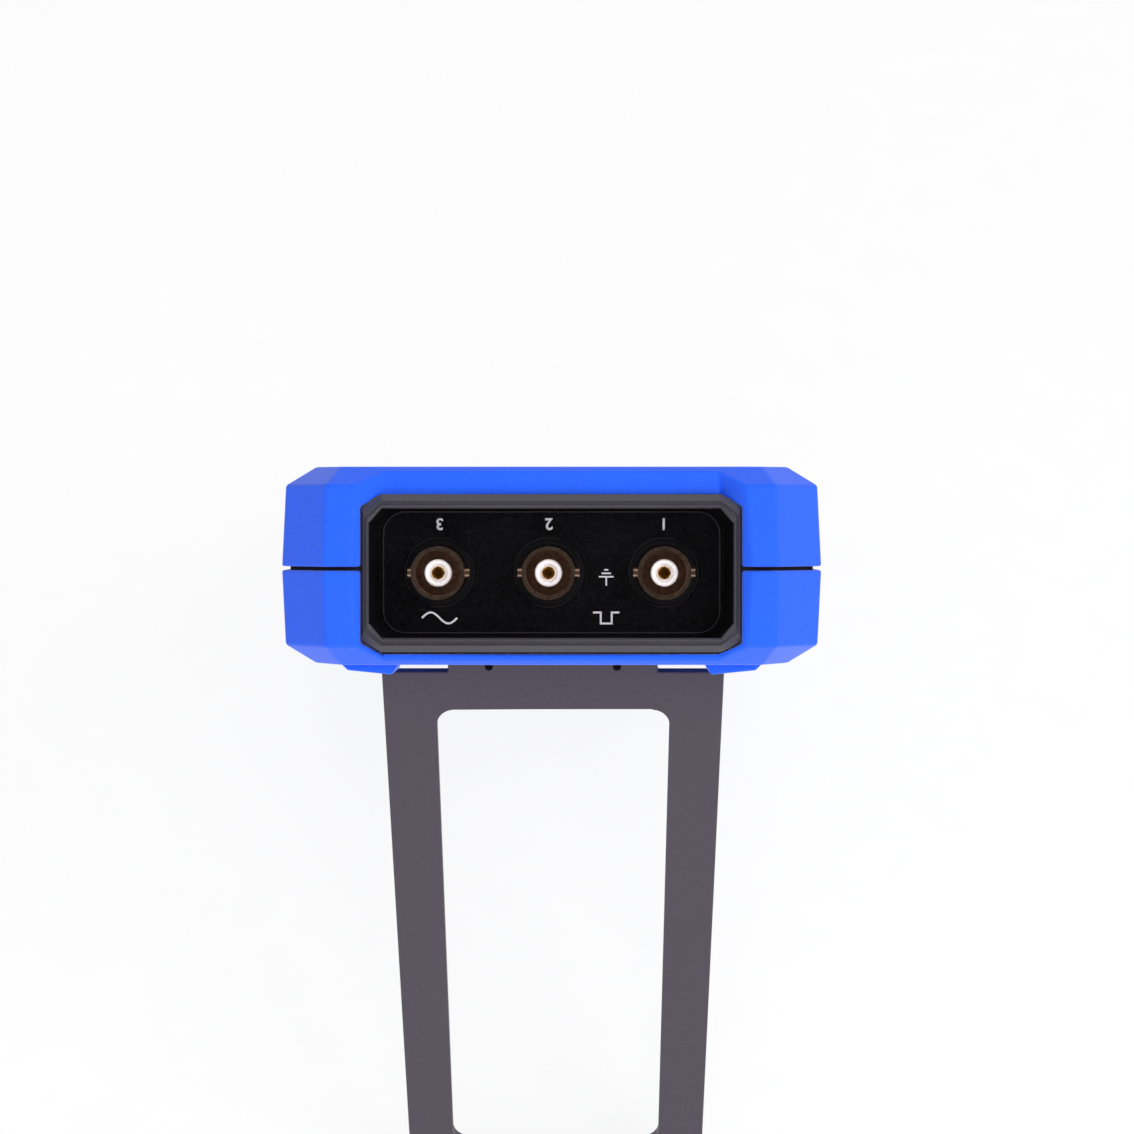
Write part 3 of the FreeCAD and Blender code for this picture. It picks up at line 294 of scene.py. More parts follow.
def softened(node, radius, finish, body, least=1.0, turn=12, steps=3, fit=None, cuts=()):
    """Stand in for a node with a copy whose long edges are rounded, as a mould's edges are.

    The radius and the least length of an edge are in millimetres, its turn in degrees. The fit
    moves each corner to its place in the moulding, in the instrument's axes. Flat faces are cut
    first, each cut given as a direction and a distance: at the fold where the fit begins to bend
    them, and across their holes.
    """
    shell = bmesh.new()
    shell.from_mesh(frame["nodes"][node].data)
    bmesh.ops.remove_doubles(shell, verts=shell.verts, dist=MERGED)
    bmesh.ops.dissolve_limit(shell, angle_limit=FLAT, verts=shell.verts, edges=shell.edges,
                             use_dissolve_boundaries=False)
    for way, distance in cuts:
        bmesh.ops.bisect_plane(shell, geom=shell.verts[:] + shell.edges[:] + shell.faces[:],
                               dist=EXACT, plane_co=way * distance, plane_no=way)
    if fit:
        to_instrument = INSTRUMENT.inverted()
        for corner in shell.verts:
            corner.co = INSTRUMENT @ fit(to_instrument @ corner.co)
    crisp = [edge for edge in shell.edges if edge.is_manifold
             and edge.calc_face_angle(0) > math.radians(turn)
             and edge.calc_length() > least * MM]
    bmesh.ops.bevel(shell, geom=crisp, offset=radius * MM, offset_type="OFFSET",
                    affect="EDGES", segments=steps, profile=0.5, material=-1,
                    clamp_overlap=False, miter_outer="ARC")
    bmesh.ops.triangulate(shell, faces=shell.faces)
    mesh = bpy.data.meshes.new(node + "_moulding")
    shell.to_mesh(mesh)
    shell.free()
    piece = place_piece(node + "_moulding", mesh, finish, body)
    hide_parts(node)


NEAR = 0.1 * MM
RECESS_HALF = 36.2 * MM         # the recess at the connector end, across
RECESS_SHALLOW = 3.6 * MM       # its depth in the node, and as moulded
RECESS_DEEP = 4.5 * MM
HIP_SLOPE = 0.628               # how far the hips open for each step down into the recess
HIP_INNER = 15.2 * MM           # where they meet its floor
BACK_FALL_FROM = 168 * MM       # the back falls a little from here to the connector end
BACK_FALL_OVER = 25 * MM
BACK_FALL = 0.0417
FOOT_TIP = -18.5 * MM           # all that is lower is a foot's tip
FOOT_MIDDLE = 34 * MM
FOOT_INNER = (29.0 * MM, -19.4 * MM)        # the tip's inner and outer edge: across, up
FOOT_OUTER = (37.1 * MM, -18.6 * MM)
FOOT_ROOT = (40.2 * MM, 38.3 * MM)          # the outer edge at its root, in the node and as moulded


def as_moulded(place):
    """Deepen the recess at the connector end, let the back fall and slim the feet there."""
    x, y, z = place
    depth = body_end - y
    if depth < RECESS_SHALLOW + NEAR and abs(x) < RECESS_HALF:
        deeper = depth * (RECESS_DEEP / RECESS_SHALLOW - 1)
        y -= deeper
        if abs(z) > HIP_INNER:
            z += math.copysign(deeper * HIP_SLOPE, z)
    if y > BACK_FALL_FROM and z < FOOT_TIP:
        tip_x, z = FOOT_INNER if abs(x) < FOOT_MIDDLE else FOOT_OUTER
        x = math.copysign(tip_x, x)
    elif y > BACK_FALL_FROM and z < 0:
        z *= 1 + BACK_FALL * min((y - BACK_FALL_FROM) / BACK_FALL_OVER, 1)
        if FOOT_ROOT[0] < abs(x) < FOOT_ROOT[0] + 2 * NEAR and z < -HIP_INNER:
            x = math.copysign(FOOT_ROOT[1], x)
    return Vector((x, y, z))


# Spark-eroded elastomer has no highlights: it looks deep blue face on and paler along its edges.
blue_elastomer = moulded("blue_elastomer", "#0b50dc", "#0e5cf4", 0.62, 0.35, 0.012,
                         specular=0.4, sheen=0.25)
for node in ("front_bumper", "rear_bumper"):
    softened(node, 0.4, blue_elastomer, "instrument", fit=as_moulded,
             cuts=((ACROSS, 0), (ALONG, body_end / 2), (ALONG, BACK_FALL_FROM)))


# ---------------------------------------------------------------- gasket
# A cord of black rubber, pressed between the two bumpers to keep dust out of the joint. It is
# extruded and laid in by hand.

def wear(material, *nodes):
    """Give CAD nodes a finish."""
    for node in nodes:
        mesh = frame["nodes"][node].data
        mesh.materials.clear()
        mesh.materials.append(material)


# Extruded rubber is smooth and dull, so the joint reads as one dark line.
wear(moulded("gasket_rubber", "#0e0e10", "#151517", 0.8, 0.5, 0.01, specular=0.3), "case_gasket")

# ---------------------------------------------------------------- hard case
# Front and rear case and the battery cover, moulded in a charcoal polycarbonate blend. The jack
# panel at the bottom end is the same plastic.

# A fine, even moulded grain breaks reflections up into a soft grey sheen.
charcoal_case = moulded("charcoal_case_plastic", "#2a282c", "#343137", 0.55, 0.3, 0.012)
wear(charcoal_case, "front_case", "rear_case")
softened("battery_cover", 0.25, charcoal_case, "instrument", steps=2)
softened("jack_panel", 0.3, charcoal_case, "instrument", steps=2)

# ---------------------------------------------------------------- bezel and connector panel
# The bezel is a separate charcoal frame: its mouth has a fine groove and a lip, and its inner
# walls are painted black, as shade. They run down to a black panel, moulded with a coarse texture.

BEZEL_HALF = 34.45 * MM
BEZEL_BOTTOM = -15.05 * MM
BEZEL_TOP = 13.4 * MM
BEZEL_EDGE = 0.07 * MM
BEZEL_RINGS = (                 # inset at the sides, inset above and below, behind the front: mm
    (0.00, 0.00, 1.30),         # the bevel's foot
    (0.80, 1.25, 0.00),         # its crest
    (0.95, 1.50, 0.45), (1.15, 1.75, 0.45),         # the groove's floor
    (1.25, 1.95, 0.10), (1.42, 2.25, 0.12),         # the lip
    (1.70, 2.60, 0.55))         # the mouth
OUTER_CUT = Vector((3.9, 2.0)) * MM                 # the corners' cuts, across and up
MOUTH_CUT = Vector((2.3, 2.65)) * MM
THROAT_CUT = Vector((3.1, 3.1)) * MM
BEZEL_ROOT = reach("connector_bezel")[0].y
BEZEL_FRONT = reach("connector_bezel")[1].y
PANEL_FACE = reach("connector_panel")[1].y
PANEL_MIDDLE = middle("connector_panel").z
PANEL_HALF = Vector((30.8, 11.2)) * MM
PANEL_GAP = 0.65 * MM           # between the raised field and the throat's walls


def eight_sides(shape, half, bottom, top, cut, along):
    """A closed loop of eight edges across the instrument."""
    corners = []
    for side, first, last in ((1, bottom, top), (-1, top, bottom)):
        lift = cut.y if first == bottom else -cut.y
        corners += [(side * (half - cut.x), first), (side * half, first + lift),
                    (side * half, last - lift), (side * (half - cut.x), last)]
    ring = [shape.verts.new((x, along, z)) for x, z in corners]
    return [shape.edges.new(pair) for pair in zip(ring, ring[1:] + ring[:1])]


frame_shape = bmesh.new()
rings = [eight_sides(frame_shape, BEZEL_HALF, BEZEL_BOTTOM, BEZEL_TOP, OUTER_CUT, BEZEL_ROOT)]
for sides, ends, behind in BEZEL_RINGS:
    cut = OUTER_CUT.lerp(MOUTH_CUT, ends / BEZEL_RINGS[-1][1])
    rings.append(eight_sides(frame_shape, BEZEL_HALF - sides * MM, BEZEL_BOTTOM + ends * MM,
                             BEZEL_TOP - ends * MM, cut, BEZEL_FRONT - behind * MM))
throat = PANEL_HALF + Vector((PANEL_GAP, PANEL_GAP))
for along in (PANEL_FACE, BEZEL_ROOT):
    rings.append(eight_sides(frame_shape, throat.x, PANEL_MIDDLE - throat.y,
                             PANEL_MIDDLE + throat.y, THROAT_CUT, along))
walls = [bmesh.ops.bridge_loops(frame_shape, edges=outer + inner)["faces"]
         for outer, inner in zip(rings, rings[1:] + rings[:1])]
MOUTH = len(BEZEL_RINGS)
# The throat's faces take the second material: painted shade.
for face in walls[MOUTH] + walls[MOUTH + 1]:        # the throat, from the mouth inwards
    face.material_index = 1
bmesh.ops.recalc_face_normals(frame_shape, faces=frame_shape.faces)
crests = [edge for ring in rings[1:MOUTH + 1] for edge in ring]
bmesh.ops.bevel(frame_shape, geom=crests, offset=BEZEL_EDGE, offset_type="OFFSET",
                affect="EDGES", segments=2, profile=0.5, material=-1)
bmesh.ops.transform(frame_shape, matrix=INSTRUMENT, verts=frame_shape.verts)
bezel_mesh = bpy.data.meshes.new("connector_bezel_frame")
frame_shape.to_mesh(bezel_mesh)
frame_shape.free()
# Satin charcoal: broad, soft highlights draw the lip and leave the groove dark.
bezel_plastic = moulded("bezel_plastic", "#37343c", "#424048", 0.5, 0.3, 0.012)
bezel_piece = place_piece("connector_bezel_frame", bezel_mesh, bezel_plastic, "instrument")
# A second material paints the throat's walls near-black, as shade, and hardly shines.
bezel_mesh.materials.append(moulded("throat_painted_shade", "#0b0a0d", "#121115", 0.5, 0.4, 0.006,
                                    specular=0.2))
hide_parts("connector_bezel")


PANEL_GRAIN = 0.4 * MM
PANEL_FLECK = 0.28 * MM


def grained_black():
    """Black plastic with a coarse moulded texture: dull, with fine pale flecks."""
    material, tree = start_material("grained_black_panel")
    place = add(tree, "TexCoord").outputs["Object"]
    grains = add(tree, "TexVoronoi", {"Vector": place, "Scale": 1 / PANEL_GRAIN})
    flecks = add(tree, "TexNoise", {"Vector": place, "Scale": 1 / PANEL_FLECK, "Detail": 2.0})
    bumps = add(tree, "Bump", {"Height": grains.outputs["Distance"], "Distance": 0.04 * MM})
    tone = two_tones(tree, flecks.outputs["Fac"], "#040405", "#1c1a20", 0.48, 0.78)
    surface = add(tree, "BsdfPrincipled", {
        "Base Color": tone, "Roughness": 0.5, "Specular IOR Level": 0.22, "IOR": 1.5,
        "Normal": bumps.outputs["Normal"]})
    add(tree, "OutputMaterial", {"Surface": surface.outputs[0]})
    return material


def arc(centre, radius, first, last, steps):
    """Points along an arc, between two angles in degrees."""
    turns = [math.radians(first + (last - first) * step / steps) for step in range(steps + 1)]
    return [(centre[0] + radius * math.cos(turn), centre[1] + radius * math.sin(turn))
            for turn in turns]


def mesh_from(curve):
    """The mesh that a curve or a numeral makes."""
    holder = bpy.data.objects.new(curve.name, curve)
    scene.collection.objects.link(holder)
    mesh = bpy.data.meshes.new_from_object(
        holder.evaluated_get(bpy.context.evaluated_depsgraph_get()))
    bpy.data.objects.remove(holder)
    return mesh


def moulded_plate(name, outlines, thickness, edge):
    """A flat plate with holes: the outlines lie in the XY plane, the outermost first."""
    curve = bpy.data.curves.new(name, "CURVE")
    curve.dimensions = "2D"
    curve.fill_mode = "BOTH"
    curve.extrude = thickness / 2 - edge
    curve.bevel_depth = edge
    curve.bevel_resolution = 1
    curve.offset = -edge
    for outline in outlines:
        spline = curve.splines.new("POLY")
        spline.points.add(len(outline) - 1)
        for point, (x, y) in zip(spline.points, outline):
            point.co = (x, y, 0, 1)
        spline.use_cyclic_u = True
    mesh = mesh_from(curve)
    plate = bmesh.new()
    plate.from_mesh(mesh)
    bmesh.ops.remove_doubles(plate, verts=plate.verts, dist=EXACT)
    bmesh.ops.recalc_face_normals(plate, faces=plate.faces)
    plate.to_mesh(mesh)
    plate.free()
    return mesh


def facing_out(across, along, up):
    """Turn an XY shape to the connector end, its top towards the back, and place it."""
    turn = Matrix(((1, 0, 0), (0, 0, 1), (0, -1, 0))).to_4x4()
    turn.translation = Vector((across, along, up))
    return INSTRUMENT @ turn


PANEL_RADIUS = 4.2 * MM
HOLE_RADIUS = 6.5 * MM
FIELD_THICKNESS = 0.3 * MM
FIELD_EDGE = 0.12 * MM
EDGE_LINE = (0.1 * MM, 0.3 * MM)            # the painted highlight line on the field's edge, in from it
FILM = 0.04 * MM                # thin layers: painted edge highlight, pane, ink
FILM_EDGE = 0.01 * MM
PANEL_FRONT = PANEL_FACE + FIELD_THICKNESS


def field_outline(inset):
    """The raised field's outline, a rectangle with round corners."""
    corner = PANEL_HALF - Vector((PANEL_RADIUS, PANEL_RADIUS))
    points = []
    for across, up, first in ((1, 1, 0), (-1, 1, 90), (-1, -1, 180), (1, -1, 270)):
        points += arc((across * corner.x, up * corner.y), PANEL_RADIUS - inset, first,
                      first + 90, 8)
    return points


# A hole's last point stops short of its first, because each outline is closed.
holes = [arc((middle(f"bnc_barrel_{number}").x, 0), HOLE_RADIUS, 360, 7.5, 47)
         for number in (1, 2, 3)]
field = moulded_plate("connector_panel_field", [field_outline(0)] + holes, FIELD_THICKNESS,
                      FIELD_EDGE)
field.transform(facing_out(0, PANEL_FACE + FIELD_THICKNESS / 2, PANEL_MIDDLE))
black_panel = grained_black()
wear(black_panel, "connector_panel")
place_piece("connector_panel_field", field, black_panel, "instrument")

# A fine grey line on the raised field's edge: a painted highlight where the edge would catch light.
painted_edge_highlight = moulded("panel_edge_painted_highlight", "#26252b", "#2e2d34", 0.4, 0.4, 0.004)
edge_line = moulded_plate("connector_panel_edge", [field_outline(inset) for inset in EDGE_LINE],
                          FILM, FILM_EDGE)
edge_line.transform(facing_out(0, PANEL_FRONT + FILM / 2, PANEL_MIDDLE))
place_piece("connector_panel_edge", edge_line, painted_edge_highlight, "instrument")


# ---------------------------------------------------------------- BNC sockets
# Three bayonet sockets: a turned, nickel-plated barrel with two lugs through a black nylon
# collar, a turned white PTFE insulator, and a gold-plated contact slit into four springy fingers.

MOTTLE = 0.8 * MM


def plated(name, dark, light, roughness):
    """Electroplated metal, with the faint mottling that handling leaves in the shine."""
    material, tree = start_material(name)
    place = add(tree, "TexCoord").outputs["Object"]
    mottle = add(tree, "TexNoise", {"Vector": place, "Scale": 1 / MOTTLE, "Detail": 3.0})
    polish = add(tree, "MapRange", {"Value": mottle.outputs["Fac"],
                                    "To Min": roughness - 0.06, "To Max": roughness + 0.08})
    surface = add(tree, "BsdfPrincipled", {
        "Base Color": two_tones(tree, mottle.outputs["Fac"], dark, light),
        "Metallic": 1.0, "Roughness": polish.outputs["Result"]})
    add(tree, "OutputMaterial", {"Surface": surface.outputs[0]})
    return material


def turned(name, profile, centre, material):
    """Spin a closed profile of (radius, along) in millimetres about a line along Y."""
    lathe = bmesh.new()
    corners = [lathe.verts.new((radius * MM, along * MM, 0)) for radius, along in profile]
    edges = [lathe.edges.new(pair) for pair in zip(corners, corners[1:] + corners[:1])]
    bmesh.ops.spin(lathe, geom=corners + edges, axis=(0, 1, 0), cent=(0, 0, 0),
                   angle=2 * math.pi, steps=48, use_merge=True)
    bmesh.ops.remove_doubles(lathe, verts=lathe.verts, dist=EXACT)
    bmesh.ops.recalc_face_normals(lathe, faces=lathe.faces)
    bmesh.ops.transform(lathe, matrix=INSTRUMENT @ Matrix.Translation(centre),
                        verts=lathe.verts)
    mesh = bpy.data.meshes.new(name)
    lathe.to_mesh(mesh)
    lathe.free()
    return place_piece(name, mesh, material, "instrument")


def front_end(node):
    """The middle of a turned node's front face, its radius and its length."""
    low, high = reach(node)
    front = Vector(((low.x + high.x) / 2, high.y, (low.z + high.z) / 2))
    return front, (high.x - low.x) / 2, high.y - low.y


# Nickel, a little soft, mirrors the dark throat; its warm tint is a painted reflection of gold.
nickel_painted_warm = plated("nickel_painted_warm", "#c49e86", "#dfc0aa", 0.36)
# Thin gold: a deep yellow, without sharp reflections.
gold_plate = plated("gold_plate", "#f2ae42", "#ffd878", 0.42)
# Black nylon with a slight gloss, just enough to tell it from the panel.
collar_nylon = moulded("black_collar_nylon", "#0b0a0c", "#121113", 0.45, 0.4, 0.006, specular=0.35)
# Turned PTFE is waxy and pure white.
white_ptfe = moulded("white_ptfe", "#f2eff2", "#fbf8fb", 0.4, 0.5, 0.003)
CONTACT_RADIUS = 1.18           # these are millimetres
CONTACT_BORE = 0.68
CUP_RADIUS = 1.53               # the insulator's dish round the contact
CUP_DEPTH = 0.6
CUP_BEVEL = 0.25
RIM_BEVEL = 0.2
FINGERS = 4
FINGER_LENGTH = 4.0
SLIT = math.radians(16)
for number in (1, 2, 3):
    wear(nickel_painted_warm, f"bnc_barrel_{number}")
    wear(collar_nylon, f"bnc_collar_{number}")
    front, radius, length = front_end(f"bnc_insulator_{number}")
    radius /= MM
    length /= MM
    insulator = turned(f"bnc_insulator_{number}_turned", [
        (CONTACT_RADIUS, -length), (radius, -length), (radius, -RIM_BEVEL),
        (radius - RIM_BEVEL, 0), (CUP_RADIUS + CUP_BEVEL, 0), (CUP_RADIUS, -CUP_BEVEL),
        (CUP_RADIUS, -CUP_DEPTH), (CONTACT_RADIUS, -CUP_DEPTH)],
        front, white_ptfe)
    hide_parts(f"bnc_insulator_{number}")

    front, radius, length = front_end(f"bnc_contact_{number}")
    shank = length - FINGER_LENGTH * MM
    fingers = bmesh.new()
    section = [(CONTACT_BORE, 0), (CONTACT_RADIUS - 0.15, 0), (CONTACT_RADIUS, -RIM_BEVEL),
               (CONTACT_RADIUS, -FINGER_LENGTH), (CONTACT_BORE, -FINGER_LENGTH)]
    for finger in range(FINGERS):
        corners = [fingers.verts.new((across * MM, along * MM, 0)) for across, along in section]
        face = fingers.faces.new(corners)
        bmesh.ops.rotate(fingers, verts=corners, cent=(0, 0, 0), matrix=Matrix.Rotation(
            finger * 2 * math.pi / FINGERS + SLIT / 2, 3, "Y"))
        bmesh.ops.spin(fingers, geom=[face], axis=(0, 1, 0), cent=(0, 0, 0),
                       angle=2 * math.pi / FINGERS - SLIT, steps=8)
    bmesh.ops.create_cone(
        fingers, cap_ends=True, segments=32, radius1=CONTACT_RADIUS * MM,
        radius2=CONTACT_RADIUS * MM, depth=shank,
        matrix=Matrix.Translation((0, shank / 2 - length, 0))
        @ Matrix.Rotation(math.pi / 2, 4, "X"))
    bmesh.ops.recalc_face_normals(fingers, faces=fingers.faces)
    bmesh.ops.transform(fingers, verts=fingers.verts,
                        matrix=INSTRUMENT @ Matrix.Translation(front))
    finger_mesh = bpy.data.meshes.new(f"bnc_contact_{number}_slit")
    fingers.to_mesh(finger_mesh)
    fingers.free()
    contact = place_piece(f"bnc_contact_{number}_slit", finger_mesh, gold_plate, "instrument")
    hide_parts(f"bnc_contact_{number}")


# ---------------------------------------------------------------- printed marks on the panel
# Pale grey pad print: a plain numeral over each socket, a sine under the generator's socket, and
# the common earth and pulse signs between the other two. They read from the screen side.

def printed(name, flat, turn, ink, body):
    """Give a flat bmesh in its own XY plane an ink's thickness, and lay it in its place."""
    bmesh.ops.remove_doubles(flat, verts=flat.verts, dist=2 * EXACT)
    raised = bmesh.ops.extrude_face_region(flat, geom=flat.faces[:])
    bmesh.ops.translate(flat, vec=(0, 0, FILM),
                        verts=[item for item in raised["geom"]
                               if isinstance(item, bmesh.types.BMVert)])
    bmesh.ops.recalc_face_normals(flat, faces=flat.faces)
    bmesh.ops.transform(flat, matrix=turn, verts=flat.verts)
    mesh = bpy.data.meshes.new(name)
    flat.to_mesh(mesh)
    flat.free()
    place_piece(name, mesh, ink, body)


def numeral(number, height):
    """A numeral as a flat bmesh, centred on the origin."""
    curve = bpy.data.curves.new(f"numeral_{number}", "FONT")
    curve.body = str(number)
    curve.align_x = "CENTER"
    curve.align_y = "CENTER"
    curve.size = height / 0.7      # a capital stands 0.7 of the font's size
    curve.resolution_u = 4
    curve.offset = height * 0.03   # a little bolder
    mesh = mesh_from(curve)
    flat = bmesh.new()
    flat.from_mesh(mesh)
    bpy.data.meshes.remove(mesh)
    return flat


def strokes(lines, width):
    """Printed lines of even width, each a list of points in the XY plane."""
    flat = bmesh.new()
    for points in lines:
        rows = []
        for index, point in enumerate(points):
            before = Vector(points[max(index - 1, 0)])
            after = Vector(points[min(index + 1, len(points) - 1)])
            side = (after - before).normalized().orthogonal() * width / 2
            rows.append([flat.verts.new((*(Vector(point) + side * way), 0)) for way in (1, -1)])
        for first, second in zip(rows, rows[1:]):
            flat.faces.new((first[0], first[1], second[1], second[0]))
    return flat


def sine(width, height, steps):
    """One period of a sine, as a line of points."""
    return [(width * (step / steps - 0.5), height * math.sin(step / steps * 2 * math.pi))
            for step in range(steps + 1)]


# Pad-print ink is flat and opaque: an even pale grey.
print_ink = moulded("pale_print_ink", "#cbc9d3", "#dcdae3", 0.6, 0.25, 0.002)


def print_on_panel(name, flat, across, up):
    """Print a mark on the connector panel, with its foot towards the screen side."""
    printed(name, flat, facing_out(across, PANEL_FRONT, up), print_ink, "instrument")


NUMERAL_HEIGHT = 2.1 * MM
NUMERAL_UP = 8.1 * MM
SIGN_UP = -9.1 * MM
EARTH_UP = -1.6 * MM
STROKE = 0.34 * MM
END = STROKE / 2
for number in (1, 2, 3):
    print_on_panel(f"numeral_{number}", numeral(number, NUMERAL_HEIGHT),
                   middle(f"bnc_barrel_{number}").x, NUMERAL_UP)
print_on_panel("sine_sign", strokes([sine(6.4 * MM, 1.0 * MM, 32)], STROKE),
               middle("bnc_barrel_3").x, SIGN_UP)
between = (middle("bnc_barrel_1").x + middle("bnc_barrel_2").x) / 2
PULSE = 1.0 * MM                # half its width and half its height
PULSE_REACH = 2.4 * MM
pulse = [[(-PULSE_REACH, -PULSE), (-PULSE + END, -PULSE)],
         [(-PULSE, -PULSE), (-PULSE, PULSE)],
         [(-PULSE - END, PULSE), (PULSE + END, PULSE)],
         [(PULSE, PULSE), (PULSE, -PULSE)],
         [(PULSE - END, -PULSE), (PULSE_REACH, -PULSE)]]
print_on_panel("pulse_sign", strokes(pulse, STROKE), between, SIGN_UP)
EARTH_BARS = ((1.35, 0), (0.855, -0.63), (0.36, -1.26))             # half width, up: millimetres
earth = [[(-half * MM, up * MM), (half * MM, up * MM)] for half, up in EARTH_BARS]
earth.append([(0, END), (0, 1.62 * MM)])
print_on_panel("earth_sign", strokes(earth, STROKE * 0.8), between, EARTH_UP)

# ---------------------------------------------------------------- multimeter sockets
# Four shrouded 4 mm sockets in the bottom end: nylon sleeves round nickel-plated contacts. They
# snap into the jack panel, and plain numerals number them.

# Nylon from a polished mould is glossy. The sleeve for voltage is red, the others are black.
sleeve_black = moulded("black_sleeve_nylon", "#141416", "#1b1b1e", 0.3, 0.4, 0.004)
sleeve_red = moulded("red_sleeve_nylon", "#a81916", "#c4211d", 0.3, 0.4, 0.004)
JACK_NUMERAL_UP = 8.2 * MM
for number in (1, 2, 3, 4):
    wear(sleeve_red if number == 4 else sleeve_black, f"jack_sleeve_{number}")
    wear(nickel_painted_warm, f"jack_contact_{number}")
    turn = Matrix(((1, 0, 0), (0, 0, -1), (0, 1, 0))).to_4x4()
    turn.translation = Vector((middle(f"jack_sleeve_{number}").x, reach("jack_panel")[0].y,
                               JACK_NUMERAL_UP))
    printed(f"jack_numeral_{number}", numeral(number, NUMERAL_HEIGHT), INSTRUMENT @ turn,
            print_ink, "instrument")


# ---------------------------------------------------------------- screen
# A hard-coated acrylic window with a black border printed on its back. The liquid crystal panel
# behind it is switched off, so the pane only looks a little bluer than the border.

SMEAR = 22 * MM


def hard_coat(name, dark, light):
    """Hard-coated acrylic: sharp reflections, blurred here and there by faint smears."""
    material, tree = start_material(name)
    place = add(tree, "TexCoord").outputs["Object"]
    smears = add(tree, "TexNoise", {"Vector": place, "Scale": 1 / SMEAR, "Detail": 3.0,
                                    "Distortion": 1.5})
    polish = add(tree, "MapRange", {"Value": smears.outputs["Fac"], "From Min": 0.35,
                                    "From Max": 0.7, "To Min": 0.05, "To Max": 0.13})
    surface = add(tree, "BsdfPrincipled", {
        "Base Color": two_tones(tree, smears.outputs["Fac"], dark, light), "IOR": 1.49,
        "Roughness": polish.outputs["Result"], "Coat Weight": 0.5, "Coat Roughness": 0.04})
    add(tree, "OutputMaterial", {"Surface": surface.outputs[0]})
    return material


wear(hard_coat("window_border_print", "#08080a", "#0c0c0f"), "display_window")
PANE_HALF = Vector((30.5, 22)) * MM
pane = moulded_plate("display_pane", [[(across * PANE_HALF.x, along * PANE_HALF.y)
                                       for across, along in ((1, 1), (-1, 1), (-1, -1), (1, -1))]],
                     FILM, FILM_EDGE)
window = middle("display_window")
pane.transform(INSTRUMENT @ Matrix.Translation(
    (window.x, window.y, reach("display_window")[1].z + FILM / 2)))
place_piece("display_pane", pane, hard_coat("dark_lcd_pane", "#15181c", "#1b1f24"), "instrument")
# The module's pressed and blackened frame, hidden behind the window, is satin.
wear(moulded("display_bezel_black", "#141518", "#1a1c20", 0.35, 0.8, 0.002), "display_module")

# ---------------------------------------------------------------- keys
# Silicone rubber caps, moulded, printed and clear-coated. They rest on the domes of the keypad
# mat. Grey is for the menus, blue for run and red for power.

# Moulded silicone looks soft and slightly dusty, even under its clear coat.
grey_silicone = moulded("grey_key_silicone", "#55535c", "#615f69", 0.6, 0.3, 0.006, sheen=0.1)
blue_silicone = moulded("blue_key_silicone", "#134fd6", "#195cea", 0.6, 0.3, 0.006, sheen=0.1)
red_silicone = moulded("red_key_silicone", "#b22b22", "#c5352b", 0.6, 0.3, 0.006, sheen=0.1)
# Screen-print ink on the caps: a flat near-white.
key_ink = moulded("white_key_ink", "#dddce2", "#eceaf0", 0.55, 0.25, 0.002)
for node in frame["nodes"]:
    if node.endswith("_key") or "_key_" in node:
        finish = {"run_key": blue_silicone, "power_key": red_silicone}.get(node, grey_silicone)
        wear(finish, node)


def print_on_key(node, mark, flat):
    """Print a mark in the middle of a key's top, with its foot towards the bottom end."""
    place = middle(node)
    place.z = reach(node)[1].z
    printed(f"{node}_{mark}", flat, INSTRUMENT @ Matrix.Translation(place), key_ink,
            node + "_body")


def triangle(tip, foot, half):
    """A flat triangle that points along X."""
    flat = bmesh.new()
    flat.faces.new([flat.verts.new((x, y, 0)) for x, y in ((foot, -half), (tip, 0), (foot, half))])
    return flat


KEY_NUMERAL = 2.6 * MM
KEY_STROKE = 0.4 * MM
for number in (1, 2, 3, 4):
    print_on_key(f"screen_key_{number}", "numeral", numeral(number, KEY_NUMERAL))

WIDE = 1.7 * MM                 # half a sign's width
HIGH = 1.02 * MM                # half its height
STEP = 0.561 * MM               # half the width of the pulse's raised part
LINES = 0.85 * MM               # between the lines of the list sign
square = [[(-WIDE, -HIGH), (-STEP, -HIGH)], [(-STEP, -HIGH), (-STEP, HIGH)],
          [(-STEP, HIGH), (STEP, HIGH)], [(STEP, HIGH), (STEP, -HIGH)],
          [(STEP, -HIGH), (WIDE, -HIGH)]]
minus = [[(-WIDE, 0), (WIDE, 0)]]
plus = [[(0, -1.36 * MM), (0, 1.36 * MM)]] + minus
menu = [[(-WIDE, row * LINES), (WIDE, row * LINES)] for row in (-1, 0, 1)]
roof = [[(-WIDE, -HIGH), (0, HIGH)], [(0, HIGH), (WIDE, -HIGH)]]
for node, lines in (("left_key_1", [sine(2 * WIDE, HIGH, 24)]), ("left_key_2", square),
                    ("left_key_3", menu), ("right_key_1", plus), ("right_key_2", minus),
                    ("right_key_3", roof)):
    print_on_key(node, "sign", strokes(lines, KEY_STROKE))

ARROW_RADIUS = 10.2 * MM        # from the middle of the pad
pad = middle("ok_key")
for node in ("right_arrow_key", "up_arrow_key", "left_arrow_key", "down_arrow_key"):
    outwards = (middle(node) - pad).to_2d().normalized()
    place = pad + outwards.to_3d() * ARROW_RADIUS
    place.z = reach(node)[1].z
    turn = Matrix.Rotation(math.atan2(outwards.y, outwards.x), 4, "Z")
    printed(node + "_arrow", triangle(1.2 * MM, -0.75 * MM, 1.2 * MM),
            INSTRUMENT @ Matrix.Translation(place) @ turn, key_ink, node + "_body")

